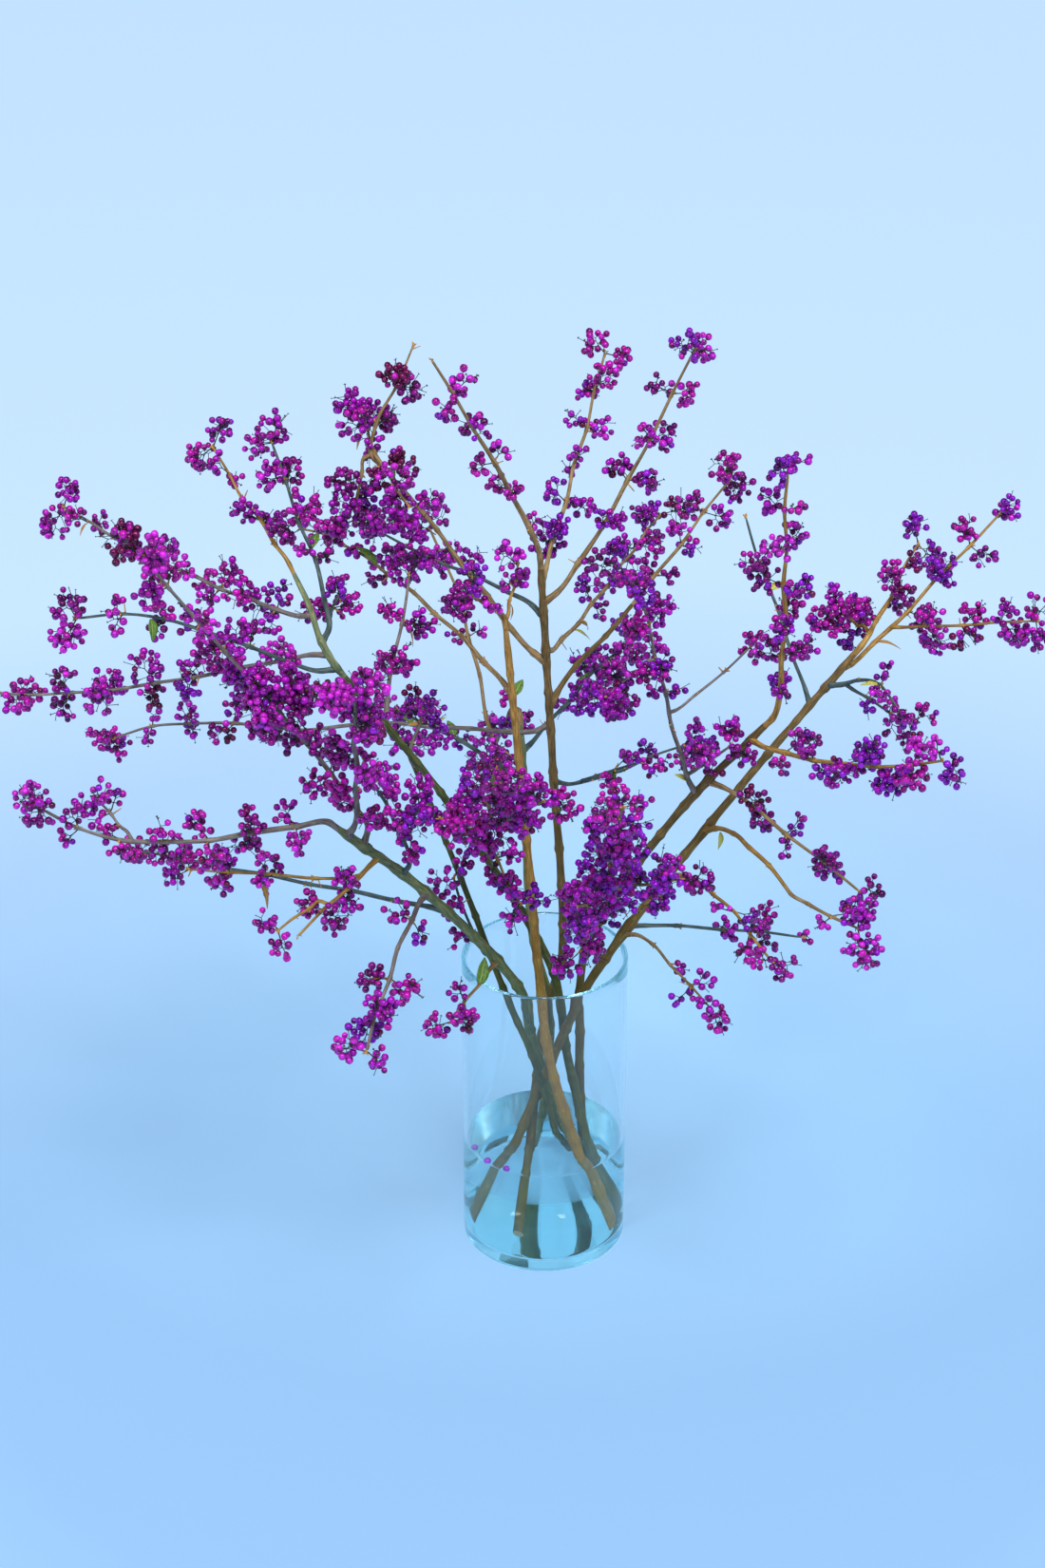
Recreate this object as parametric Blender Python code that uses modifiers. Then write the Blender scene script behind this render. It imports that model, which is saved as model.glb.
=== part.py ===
"""Cut beautyberry branches standing in a clear glass cylinder vase of water.

Metres, +Z up. The origin is the centre of the vase's flat underside.
Stems rise from the vase's floor, cross inside it and fan out over its rim. Boughs and berry shoots
grow from them by one rule, with a pair of berry clusters at every leaf scar.
"""
import math

import bmesh
import bpy
import numpy as np
from mathutils import Matrix, Vector

# Vase and water
VASE_DIAMETER = 0.100
VASE_HEIGHT = 0.200
GLASS_WALL = 0.0025
GLASS_BASE = 0.008
INNER_FILLET = 0.004
HEEL_RADIUS = 0.004
WATER_LEVEL = 0.070
CROSSING_HEIGHT = 0.135
TURNED_STEPS = 36

# Clearance between pieces that touch
GAP = 0.0003

# Growth of the branches
SCAR_SPACING = 0.026
LEAVE_ANGLE = 58
LEAVE_LENGTH = 0.006
HANDLE_MOST = 0.025
HANDLE_SHARE = 0.30
ARC_SAMPLES = 40
PULL_SHARE = 0.66
PULL_WEIGHT = 8 / 3
KINK = 0.0008
SWING_STEP = 0.005
SWING_TRIES = 7
LIMB_CLEARANCE = 0.0010
ROOT_ZONE = 0.016

# Berry clusters
BERRIES_LEAST = 5
BERRIES_MEAN = 17
BERRIES_SPREAD = 0.35
QUARTER_TURN = 0.5 * math.pi
TURN_SPREAD = 0.3
UPRIGHT = 0.95
LEAN_LEAST = 0.1
LEAN_MOST = 0.7
CLUSTER_SIZE = 0.0033
CLUSTER_STANDOFF = 0.75
CLUSTER_SHRINK = 0.6
CLUSTER_TRIES = 3
CLUSTER_CLEARANCE = 0.0008
PEDUNCLE_LENGTH = 0.0028
PEDUNCLE_RADIUS = 0.0007
PEDUNCLE_SUNK = 0.3
BUNCH_LEAST = 9

# Each stem: foot, waist and mouth as (bearing, reach) from the vase's axis, the tip as (bearing, reach,
# height), the upward bow of its free stretch, and its thickness at the foot and at the tip
STEMS = {
    "stem_left": ((27, 0.035), (230, 0.008), (245, 0.039), (218, 0.148, 0.338), 0.009, 0.0070, 0.0050),
    "stem_left_thin": ((62, 0.036), (261, 0.027), (232, 0.042), (202, 0.081, 0.344), 0.003, 0.0048, 0.0030),
    "stem_front": ((345, 0.038), (279, 0.036), (264, 0.030), (221, 0.030, 0.425), 0.003, 0.0070, 0.0038),
    "stem_cross": ((5, 0.037), (342, 0.014), (288, 0.006), (208, 0.128, 0.418), 0.012, 0.0062, 0.0036),
    "stem_centre": ((236, 0.024), (101, 0.010), (50, 0.017), (107, 0.010, 0.450), 0.004, 0.0056, 0.0040),
    "stem_right_high": ((47, 0.038), (29, 0.025), (33, 0.033), (351, 0.127, 0.365), 0.013, 0.0060, 0.0044),
    "stem_right_low": ((185, 0.037), (291, 0.014), (346, 0.036), (18, 0.192, 0.371), 0.005, 0.0066, 0.0040),
    "stem_back": ((100, 0.037), (78, 0.018), (103, 0.037), (98, 0.105, 0.300), 0.006, 0.0058, 0.0044),
}

# Each bough: limb it grows on and share along it, tip as (bearing, reach, height), upward bow, and its
# thickness at the root and at the tip
BOUGHS = {
    "bough_upper_left": ("stem_cross", 1.00, (188, 0.142, 0.460), 0.000, 0.0036, 0.0030),
    "bough_level_left": ("stem_centre", 0.775, (156, 0.147, 0.321), 0.004, 0.0028, 0.0022),
    "bough_top_left": ("stem_centre", 0.865, (152, 0.107, 0.496), 0.003, 0.0034, 0.0024),
    "bough_back_right": ("stem_centre", 0.8, (59, 0.100, 0.390), 0.000, 0.0034, 0.0026),
    "bough_low_right": ("stem_right_low", 0.69, (328, 0.160, 0.295), 0.003, 0.0030, 0.0024),
}

# Each berry shoot: limb it grows on and share along it, tip as (bearing, reach, height), upward bow,
# thickness at the root and at the tip, and how full its clusters are at even steps from root to tip,
# where 0 is bare. A shoot that grows on another shoot is fused to it
SHOOTS = {
    "spray_arc": ("stem_left", 1.00, (207, 0.305, 0.376), -0.016, 0.0036, 0.0016,
        (0, 0.9, 0.9, 0.6, 0.2, 1.0)),
    "arc_side": ("spray_arc", 0.68, (206, 0.272, 0.371), 0.000, 0.0018, 0.0012,
        (0, 0.2, 0.6)),
    "spray_left_hanging": ("stem_left", 0.905, (228, 0.202, 0.304), 0.000, 0.0026, 0.0014,
        (0.8, 0.9, 1.1, 0.9, 0.2)),
    "hanging_side": ("spray_left_hanging", 0.20, (199, 0.214, 0.299), 0.000, 0.0020, 0.0012,
        (0, 0.2, 0.3, 0.8, 0.9)),
    "hanging_low": ("spray_left_hanging", 0.60, (226, 0.210, 0.308), 0.000, 0.0018, 0.0012,
        (0, 0, 0.5)),
    "spray_low_left": ("stem_left", 0.74, (180, 0.239, 0.271), 0.000, 0.0030, 0.0014,
        (0, 0, 0.1, 0.3, 0.6, 0.7)),
    "spray_front_hanging": ("stem_left", 0.79, (244, 0.222, 0.261), 0.004, 0.0030, 0.0016,
        (0, 0.5, 0.1, 1.1, 1.7, 0.9)),
    "spray_rim_left": ("stem_left", 0.60, (246, 0.131, 0.229), 0.000, 0.0024, 0.0014,
        (0, 0, 0.5, 1.3)),
    "spray_front_tall": ("stem_left", 0.975, (241, 0.206, 0.467), 0.000, 0.0034, 0.0018,
        (0, 0.6, 1.5, 1.3, 1.5, 1.4)),
    "spray_front_inner": ("stem_left", 0.85, (233, 0.164, 0.403), 0.000, 0.0026, 0.0014,
        (0, 0.4, 0.9, 0.9, 1.1, 1.2)),
    "inner_upper": ("spray_front_inner", 0.35, (242, 0.148, 0.372), 0.000, 0.0020, 0.0012,
        (0, 0.8, 1.1)),
    "spray_left_front": ("stem_left", 0.94, (216, 0.258, 0.533), 0.000, 0.0030, 0.0016,
        (0, 0.9, 1.0, 1.2, 0.3, 1.8)),
    "left_front_side": ("spray_left_front", 0.50, (222, 0.186, 0.433), 0.000, 0.0020, 0.0014,
        (0.5, 1.5, 1.6)),
    "spray_far_left": ("bough_upper_left", 1.00, (153, 0.218, 0.486), -0.003, 0.0024, 0.0014,
        (0.3, 0.2, 0.7, 0.1, 0.3, 1.4)),
    "spray_upper_left": ("bough_upper_left", 0.32, (169, 0.157, 0.518), 0.000, 0.0028, 0.0014,
        (0.9, 0.8, 0.4, 0.9, 1.2, 0.9)),
    "upper_side": ("spray_upper_left", 0.10, (176, 0.116, 0.443), 0.000, 0.0020, 0.0012,
        (0.6, 1.2, 0.5, 0)),
    "spray_left_rising": ("bough_upper_left", 0.58, (157, 0.312, 0.438), -0.004, 0.0026, 0.0014,
        (0.2, 1.0, 0.7, 1.1, 0.1, 1.1)),
    "spray_left_upper": ("bough_upper_left", 0.06, (202, 0.271, 0.472), 0.010, 0.0026, 0.0014,
        (1.5, 0.4, 0.6, 0.7, 0.4, 1.3)),
    "spray_left_long": ("bough_upper_left", 0.20, (185, 0.318, 0.391), -0.007, 0.0026, 0.0014,
        (0.9, 1.3, 0.7, 1.5, 0.5, 1.3)),
    "spray_level_left": ("bough_level_left", 1.00, (159, 0.282, 0.293), 0.007, 0.0022, 0.0014,
        (0.3, 1.2, 0.8, 0.6, 0.3, 1.3)),
    "spray_inner_left": ("stem_cross", 0.90, (180, 0.077, 0.450), 0.000, 0.0028, 0.0014,
        (1.0, 1.1, 0.9, 1.7)),
    "spray_mid_left": ("stem_centre", 0.93, (135, 0.143, 0.433), -0.002, 0.0028, 0.0014,
        (0, 0, 0.6, 0.5, 1.2, 1.3)),
    "spray_far_back_left": ("stem_front", 0.905, (130, 0.234, 0.398), 0.011, 0.0030, 0.0014,
        (0, 0, 0, 0.5, 0.3, 0.5)),
    "spray_top_left": ("bough_top_left", 1.00, (137, 0.103, 0.560), 0.000, 0.0024, 0.0012,
        (0.8, 0.3, 1.1, 0.1)),
    "top_left_side": ("spray_top_left", 0.05, (143, 0.134, 0.516), 0.000, 0.0018, 0.0012,
        (0.7, 0.9, 1.3)),
    "top_left_low": ("spray_top_left", 0.12, (172, 0.078, 0.488), 0.000, 0.0020, 0.0014,
        (0.8, 1.0, 1.3, 1.6)),
    "top_left_under": ("spray_top_left", 0.10, (160, 0.116, 0.467), 0.000, 0.0020, 0.0014,
        (0.8, 1.4, 1.5)),
    "spray_top": ("stem_centre", 1.00, (213, 0.073, 0.594), 0.002, 0.0036, 0.0014,
        (0.6, 0.3, 0.6, 0.4, 0.8, 0)),
    "spray_front_top": ("stem_front", 1.00, (230, 0.065, 0.462), 0.000, 0.0030, 0.0016,
        (0, 0, 0.6, 1.1)),
    "front_top_side": ("spray_front_top", 0.10, (180, 0.016, 0.456), 0.000, 0.0020, 0.0014,
        (0, 0.2, 0.6, 0.8)),
    "spray_top_back": ("stem_centre", 0.98, (75, 0.136, 0.532), -0.002, 0.0028, 0.0014,
        (0.8, 1.5, 0.2, 0.6, 0.8, 0.7)),
    "spray_top_right": ("stem_centre", 0.95, (20, 0.087, 0.573), -0.004, 0.0032, 0.0014,
        (0, 1.1, 0.3, 1.3, 0.4, 1.2)),
    "spray_back_right": ("bough_back_right", 1.00, (54, 0.190, 0.441), 0.000, 0.0026, 0.0014,
        (0.5, 0.4, 0.9, 1.5)),
    "spray_far_back_right": ("stem_centre", 0.885, (70, 0.213, 0.398), 0.000, 0.0028, 0.0014,
        (0, 0.1, 0.5, 0.8, 0.9, 1.2)),
    "spray_right_inner": ("stem_right_high", 0.83, (315, 0.071, 0.464), 0.002, 0.0028, 0.0014,
        (0, 0.3, 0.1, 0.7, 1.8, 1.1)),
    "inner_low": ("spray_right_inner", 0.08, (348, 0.108, 0.353), 0.000, 0.0020, 0.0014,
        (0.6, 1.2, 1.2)),
    "inner_side": ("spray_right_inner", 0.40, (18, 0.126, 0.386), 0.000, 0.0018, 0.0012,
        (0, 0.1, 0.2, 0.7)),
    "inner_front": ("spray_right_inner", 0.66, (300, 0.068, 0.404), 0.000, 0.0018, 0.0012,
        (0, 0.6, 1.4, 1.7)),
    "spray_mid_right": ("stem_centre", 0.69, (37, 0.105, 0.308), 0.000, 0.0024, 0.0014,
        (0, 0, 0.2, 0.5, 0.8)),
    "mid_right_side": ("spray_mid_right", 0.20, (322, 0.066, 0.352), 0.000, 0.0020, 0.0012,
        (0, 0.3, 0.5)),
    "spray_right_tall": ("stem_right_high", 1.00, (339, 0.139, 0.534), 0.002, 0.0036, 0.0016,
        (0.2, 0.5, 0.8, 1.2, 0.6, 0.6)),
    "spray_right_behind": ("stem_right_low", 0.91, (40, 0.155, 0.441), -0.002, 0.0024, 0.0014,
        (1.0, 0.6, 0.2, 0.6, 0)),
    "spray_right_far": ("stem_right_low", 1.00, (35, 0.280, 0.396), 0.000, 0.0034, 0.0014,
        (0, 0.6, 0.7, 0.6, 1.0)),
    "far_side": ("spray_right_far", 0.15, (25, 0.192, 0.388), 0.000, 0.0020, 0.0014,
        (0.5, 1.2, 1.1)),
    "spray_right_long": ("stem_right_low", 0.975, (24, 0.298, 0.434), 0.000, 0.0030, 0.0014,
        (0, 0.1, 0.9, 1.2, 0.9, 0.9)),
    "long_side": ("spray_right_long", 0.30, (8, 0.288, 0.402), 0.000, 0.0020, 0.0012,
        (1.0, 1.4, 0.8, 1.2, 1.5)),
    "spray_right_low": ("stem_right_low", 0.945, (0, 0.205, 0.362), 0.010, 0.0026, 0.0014,
        (0, 0.3, 0.3, 0.4)),
    "low_side": ("spray_right_low", 0.15, (5, 0.215, 0.345), 0.000, 0.0020, 0.0012,
        (0, 0.3, 0.4, 0.8)),
    "spray_right_front": ("stem_right_high", 0.965, (328, 0.249, 0.402), -0.005, 0.0030, 0.0014,
        (0.3, 0.9, 0.8, 1.3, 1.6, 0.8)),
    "spray_front_right_low": ("stem_right_high", 0.86, (336, 0.194, 0.290), 0.000, 0.0028, 0.0014,
        (0.4, 0.8, 0.3, 1.2, 0.8)),
    "spray_low_right_tip": ("bough_low_right", 1.00, (320, 0.222, 0.304), 0.000, 0.0024, 0.0014,
        (0, 0, 0.3, 1.5)),
    "spray_rim_right": ("stem_right_low", 0.61, (316, 0.174, 0.270), 0.005, 0.0026, 0.0014,
        (1.0, 0.4, 0.1, 0.4, 0.7, 0.6)),
    "spray_rim_level": ("stem_right_low", 0.525, (7, 0.157, 0.200), 0.001, 0.0024, 0.0014,
        (0, 0, 0.5, 0.7, 0.3)),
    "spray_rim_front": ("stem_right_low", 0.51, (315, 0.132, 0.222), 0.000, 0.0022, 0.0012,
        (0, 0.1, 0.4, 0.7)),
    "spray_front_centre": ("stem_cross", 0.66, (261, 0.172, 0.417), 0.002, 0.0032, 0.0018,
        (0.5, 0.8, 1.3, 1.4, 1.0, 0.6)),
    "centre_left": ("spray_front_centre", 0.30, (248, 0.151, 0.371), 0.000, 0.0020, 0.0014,
        (0.4, 1.3, 1.4)),
    "centre_right": ("spray_front_centre", 0.35, (269, 0.126, 0.374), 0.000, 0.0020, 0.0014,
        (0.3, 1.1, 1.4)),
    "centre_low": ("spray_front_centre", 0.10, (258, 0.071, 0.277), 0.000, 0.0020, 0.0014,
        (0.3, 0.8, 0.8)),
    "spray_front_right": ("stem_right_high", 0.57, (284, 0.165, 0.389), 0.003, 0.0032, 0.0018,
        (0.8, 1.2, 1.5, 1.4, 1.2, 0.9)),
    "right_base": ("spray_front_right", 0.06, (283, 0.087, 0.254), 0.000, 0.0020, 0.0014,
        (0.3, 0.9, 1.1)),
    "right_low_side": ("spray_front_right", 0.20, (278, 0.121, 0.304), 0.000, 0.0020, 0.0014,
        (0.4, 1.0, 1.2)),
    "right_side": ("spray_front_right", 0.30, (304, 0.133, 0.316), 0.000, 0.0020, 0.0014,
        (0.3, 1.1, 1.5)),
    "spray_thin_tip": ("stem_left_thin", 1.00, (194, 0.072, 0.378), 0.000, 0.0028, 0.0014,
        (1.0, 1.0, 0.7, 0.6)),
    "spray_thin_low": ("stem_left_thin", 0.64, (220, 0.069, 0.278), 0.000, 0.0022, 0.0014,
        (0, 0.9, 1.4)),
    "spray_back_low": ("stem_back", 1.00, (100, 0.185, 0.235), 0.006, 0.0036, 0.0016,
        (0, 0.6, 0.9, 1.1, 1.0)),
    "spray_back_left": ("stem_back", 0.90, (127, 0.215, 0.285), 0.006, 0.0030, 0.0016,
        (0, 0.6, 0.5, 0.9, 1.2, 1.3)),
    "spray_back_mid": ("stem_back", 0.95, (76, 0.225, 0.300), 0.004, 0.0030, 0.0016,
        (0, 0.2, 0.9, 1.2, 1.1, 1.1)),
    "spray_back_high": ("stem_back", 0.80, (109, 0.220, 0.385), 0.004, 0.0030, 0.0016,
        (0, 0, 0, 0.3, 0.9, 1.1)),
}

# Colours, roughness and alpha of the materials
MATERIALS = {
    "clear_glass": ((0.80, 0.93, 0.95), 0.03, 0.35),
    "clear_water": ((0.75, 0.88, 0.92), 0.05, 0.40),
    "bark": ((0.21, 0.15, 0.07), 0.70, 1.0),
    "green_bark": ((0.13, 0.15, 0.07), 0.65, 1.0),
    "purple_berries": ((0.20, 0.015, 0.25), 0.35, 1.0),
    "magenta_berries": ((0.28, 0.015, 0.24), 0.35, 1.0),
}

UP = np.array([0.0, 0.0, 1.0])


def unit(vector):
    return vector / max(np.linalg.norm(vector), 1e-9)


def place(bearing, reach, height):
    angle = math.radians(bearing)
    return np.array([reach * math.cos(angle), reach * math.sin(angle), height])


def resample(points, spacing):
    """Even stations along a smooth line, one for every leaf scar."""
    points = np.asarray(points)
    steps = np.linalg.norm(np.diff(points, axis=0), axis=1)
    travelled = np.concatenate([[0.0], np.cumsum(steps)])
    count = max(3, round(travelled[-1] / spacing))
    wanted = np.linspace(0.0, travelled[-1], count + 1)
    return np.column_stack([np.interp(wanted, travelled, points[:, axis]) for axis in range(3)])


def smooth_through(points, per_span=12):
    """Catmull-Rom curve through a few stations."""
    ends = [2 * points[0] - points[1], *points, 2 * points[-1] - points[-2]]
    curve = []
    for before, start, end, after in zip(ends, ends[1:], ends[2:], ends[3:]):
        for step in range(per_span):
            t = step / per_span
            curve.append(0.5 * (2 * start + (end - before) * t
                                + (2 * before - 5 * start + 4 * end - after) * t * t
                                + (3 * start - before - 3 * end + after) * t ** 3))
    curve.append(points[-1])
    return np.array(curve)


class Limb:
    """A tapering limb: its stations from root to tip and its radius at each."""

    def __init__(self, name, node, path, root_thickness, tip_thickness):
        self.name = name
        self.node = node
        self.path = path
        steps = np.linalg.norm(np.diff(path, axis=0), axis=1)
        self.shares = np.concatenate([[0.0], np.cumsum(steps)]) / steps.sum()
        self.radii = 0.5 * (root_thickness + (tip_thickness - root_thickness) * self.shares)

    def at(self, share):
        point = np.array([np.interp(share, self.shares, self.path[:, axis]) for axis in range(3)])
        span = min(np.searchsorted(self.shares, share, side="left"), len(self.path) - 1)
        span = max(span, 1)
        along = unit(self.path[span] - self.path[span - 1])
        return point, along, float(np.interp(share, self.shares, self.radii))

    def capsules(self):
        return self.path[:-1], self.path[1:], np.maximum(self.radii[:-1], self.radii[1:])


def segment_distances(start, end, starts, ends):
    """Shortest distance from one segment to each of many."""
    first = end - start
    second = ends - starts
    between = start - starts
    a = max(first @ first, 1e-12)
    e = np.maximum((second * second).sum(1), 1e-12)
    f = (second * between).sum(1)
    c = between @ first
    b = second @ first
    spread = np.maximum(a * e - b * b, 1e-14)
    s = np.clip((b * f - c * e) / spread, 0.0, 1.0)
    t = np.clip((b * s + f) / e, 0.0, 1.0)
    s = np.clip((b * t - c) / a, 0.0, 1.0)
    gap = (start + s[:, None] * first) - (starts + t[:, None] * second)
    return np.linalg.norm(gap, axis=1)


class Space:
    """The space that limbs and clusters already take, as round-ended rods with an owner."""

    def __init__(self):
        self.starts = np.zeros((0, 3))
        self.ends = np.zeros((0, 3))
        self.radii = np.zeros(0)
        self.owners = np.zeros(0, dtype=object)

    def add(self, starts, ends, radii, owner):
        self.starts = np.vstack([self.starts, starts])
        self.ends = np.vstack([self.ends, ends])
        self.radii = np.concatenate([self.radii, radii])
        self.owners = np.concatenate([self.owners, np.full(len(radii), owner, dtype=object)])

    def room(self, start, end, radius, owner):
        """Free room round a rod, counting only what others own."""
        others = self.owners != owner
        if not others.any():
            return 1.0
        distances = segment_distances(start, end, self.starts[others], self.ends[others])
        return float((distances - self.radii[others]).min() - radius)


def stem_path(foot, waist, mouth, tip, bow, thickness):
    """From the vase's floor, past the place where the stems cross and the mouth, to the tip."""
    low = place(*foot, GLASS_BASE)
    middle = place(*waist, CROSSING_HEIGHT)
    high = place(*mouth, VASE_HEIGHT)
    end = place(*tip)
    lean = unit(middle - low)
    low[2] = GLASS_BASE + 2 * GAP + 0.5 * thickness * math.sqrt(1 - lean[2] ** 2)
    free = 0.5 * (high + end) + bow * UP
    return resample(smooth_through([low, middle, high, free, end]), SCAR_SPACING)


def shoot_path(parent, share, tip, bow, thickness, swing, fused):
    """An arc that leaves its parent at a wide angle and bends to its tip, kinked at each leaf scar."""
    base, along, parent_radius = parent.at(share)
    end = place(*tip)
    chord = end - base
    if share >= 1.0:
        leave = along
        start = base + (0.0 if fused else GAP) * along
    else:
        if chord @ along < 0:
            along = -along
        side = unit(chord - (chord @ along) * along)
        angle = math.radians(LEAVE_ANGLE)
        leave = math.sin(angle) * side + math.cos(angle) * along
        reach = (parent_radius + GAP + 0.5 * thickness * math.cos(angle)) / math.sin(angle)
        start = base if fused else base + reach * leave
    chord = end - start
    length = np.linalg.norm(chord)
    sideways = unit(np.cross(chord, UP))
    handle = start + min(HANDLE_SHARE * length, HANDLE_MOST) * leave
    pull = start + PULL_SHARE * chord + PULL_WEIGHT * (bow * UP + swing * sideways)
    t = np.linspace(0.0, 1.0, ARC_SAMPLES)[:, None]
    arc = (1 - t) ** 3 * start + 3 * (1 - t) ** 2 * t * handle + 3 * (1 - t) * t * t * pull + t ** 3 * end
    path = resample(arc, SCAR_SPACING)
    turns = np.arange(1, len(path) - 1)
    path[turns] += (KINK * (-1.0) ** turns)[:, None] * sideways
    return np.vstack([path[:1], start + LEAVE_LENGTH * leave, path[1:]])


def free_room(limb, space, fused):
    """Least room round a limb, without its root zone beside its parent."""
    starts, ends, radii = limb.capsules()
    least = 1.0
    for start, end, radius in zip(starts, ends, radii):
        if np.linalg.norm(end - limb.path[0]) < ROOT_ZONE:
            continue
        if fused and np.linalg.norm(start - limb.path[0]) < ROOT_ZONE:
            start = 0.5 * (start + end)
        least = min(least, space.room(start, end, radius, limb.node if fused else None))
    return least


def grow_limb(name, node, parent, share, tip, bow, root, end, space, fused=False):
    """Swings the limb aside by steps till it clears those already grown."""
    best = None
    best_room = -1.0
    for step in range(SWING_TRIES):
        swing = SWING_STEP * ((step + 1) // 2) * (-1) ** step
        path = shoot_path(parent, share, tip, bow, root, swing, fused)
        limb = Limb(name, node, path, root, end)
        room = free_room(limb, space, fused)
        if room > best_room:
            best, best_room = limb, room
        if room >= LIMB_CLEARANCE:
            break
    space.add(*best.capsules(), node)
    return best


def grow_limbs():
    """Every stem, bough and shoot, and the space that they take."""
    space = Space()
    limbs = {}
    for name, (foot, waist, mouth, tip, bow, root, end) in STEMS.items():
        limb = Limb(name, name, stem_path(foot, waist, mouth, tip, bow, root), root, end)
        limbs[name] = limb
        space.add(*limb.capsules(), name)
    for name, (parent, share, tip, bow, root, end) in BOUGHS.items():
        limbs[name] = grow_limb(name, name, limbs[parent], share, tip, bow, root, end, space)
    for name, (parent, share, tip, bow, root, end, _) in SHOOTS.items():
        fused = parent in SHOOTS
        node = limbs[parent].node if fused else name
        limbs[name] = grow_limb(name, node, limbs[parent], share, tip, bow, root, end, space, fused)
    return limbs, space


def outside_vase(centre, radius):
    """Whether a cluster clears the rim and the wall of the vase."""
    above = centre[2] - radius > VASE_HEIGHT + CLUSTER_CLEARANCE
    beside = math.hypot(centre[0], centre[1]) - radius > 0.5 * VASE_DIAMETER + CLUSTER_CLEARANCE
    return above or beside


class Bunch:
    """The berries at one leaf scar as one long ball across the shoot."""

    def __init__(self, limb, foot, clusters):
        first, second = clusters[0], clusters[-1]
        self.limb = limb
        self.berries = sum(cluster.berries for cluster in clusters)
        if len(clusters) == 2:
            self.axis = unit(first.centre - second.centre)
            low = second.centre - second.size * self.axis
        else:
            self.axis = first.aim
            low = foot - limb.radii.max() * self.axis
        high = first.centre + first.size * self.axis
        middle = 0.5 * (low + high)
        drift = middle - foot
        self.centre = middle - 0.5 * (drift - (drift @ self.axis) * self.axis)
        self.length = 0.5 * np.linalg.norm(high - low)
        self.width = min(0.5 * (first.size + second.size), self.length)

    def rod(self):
        half = (self.length - self.width) * self.axis
        return self.centre - half, self.centre + half

    def shrink(self):
        self.length *= CLUSTER_SHRINK
        self.width *= CLUSTER_SHRINK


class Cluster:
    """A ball of berries on a stalk from a leaf scar."""

    def __init__(self, limb, station, aim, berries):
        self.limb = limb
        self.aim = aim
        self.berries = berries
        self.size = CLUSTER_SIZE * max(berries, 1) ** (1 / 3)
        self.foot = limb.path[station] + PEDUNCLE_SUNK * limb.radii[station] * aim
        reach = limb.radii[station] + PEDUNCLE_LENGTH + CLUSTER_STANDOFF * self.size
        self.centre = self.foot + reach * aim
        self.clear_foot = self.foot + 2 * limb.radii[station] * aim


def grow_cluster(limb, station, aim, berries, space):
    """A cluster that shrinks till it is clear of other masses, or None where there is no room."""
    for _ in range(CLUSTER_TRIES):
        cluster = Cluster(limb, station, aim, berries)
        room = space.room(cluster.centre, cluster.centre, cluster.size, limb.node)
        if room > CLUSTER_CLEARANCE and outside_vase(cluster.centre, cluster.size):
            break
        berries = round(CLUSTER_SHRINK * berries)
    else:
        return None
    stalk_room = space.room(cluster.clear_foot, cluster.centre, PEDUNCLE_RADIUS, limb.node)
    if cluster.berries < BERRIES_LEAST or stalk_room < GAP:
        return None
    space.add(cluster.centre[None], cluster.centre[None], np.array([cluster.size]), limb.node)
    return cluster


def grow_bunch(limb, foot, clusters, space):
    """The long ball round a scar's clusters, or None where there is no room for it."""
    bunch = Bunch(limb, foot, clusters)
    for _ in range(CLUSTER_TRIES):
        start, end = bunch.rod()
        clear = all(outside_vase(point, bunch.width) for point in (start, bunch.centre, end))
        if clear and space.room(start, end, bunch.width, limb.node) > CLUSTER_CLEARANCE:
            space.add(start[None], end[None], np.array([bunch.width]), limb.node)
            return bunch
        bunch.shrink()
    return None


def grow_clusters(limbs, space):
    """A pair of berry clusters at every leaf scar that isn't bare, turned a quarter each time."""
    clusters = []
    bunches = []
    for order, (name, shoot) in enumerate(SHOOTS.items()):
        fullness = shoot[6]
        steps = np.linspace(0.0, 1.0, len(fullness))
        limb = limbs[name]
        draw = np.random.default_rng(order + 1)
        turn = draw.uniform(0.0, math.pi)
        for station in range(2, len(limb.path)):
            along = unit(limb.path[station] - limb.path[station - 1])
            across = unit(np.cross(along, UP) if abs(along[2]) < UPRIGHT else np.array([1.0, 0.0, 0.0]))
            upward = np.cross(across, along)
            turn += QUARTER_TURN + draw.uniform(-TURN_SPREAD, TURN_SPREAD)
            pair = []
            for side in (0.0, math.pi):
                outward = math.cos(turn + side) * across + math.sin(turn + side) * upward
                lean = draw.uniform(LEAN_LEAST, LEAN_MOST)
                aim = math.cos(lean) * outward + math.sin(lean) * along
                spread = draw.uniform(1 - BERRIES_SPREAD, 1 + BERRIES_SPREAD)
                full = np.interp(limb.shares[station], steps, fullness)
                cluster = grow_cluster(limb, station, aim, round(BERRIES_MEAN * full * spread), space)
                if cluster is not None:
                    pair.append(cluster)
            clusters += pair
            if sum(cluster.berries for cluster in pair) >= BUNCH_LEAST:
                bunch = grow_bunch(limb, limb.path[station], pair, space)
                if bunch is not None:
                    bunches.append(bunch)
    return clusters, bunches


def make_material(name):
    colour, roughness, alpha = MATERIALS[name]
    material = bpy.data.materials.new(name)
    material.use_nodes = True
    shader = material.node_tree.nodes["Principled BSDF"]
    shader.inputs["Base Color"].default_value = (*colour, 1.0)
    shader.inputs["Roughness"].default_value = roughness
    shader.inputs["Metallic"].default_value = 0.0
    shader.inputs["Alpha"].default_value = alpha
    return material


def link_object(name, mesh, collection, material=None):
    piece = bpy.data.objects.new(name, mesh)
    collection.objects.link(piece)
    if material is not None:
        mesh.materials.append(material)
    return piece


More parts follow.
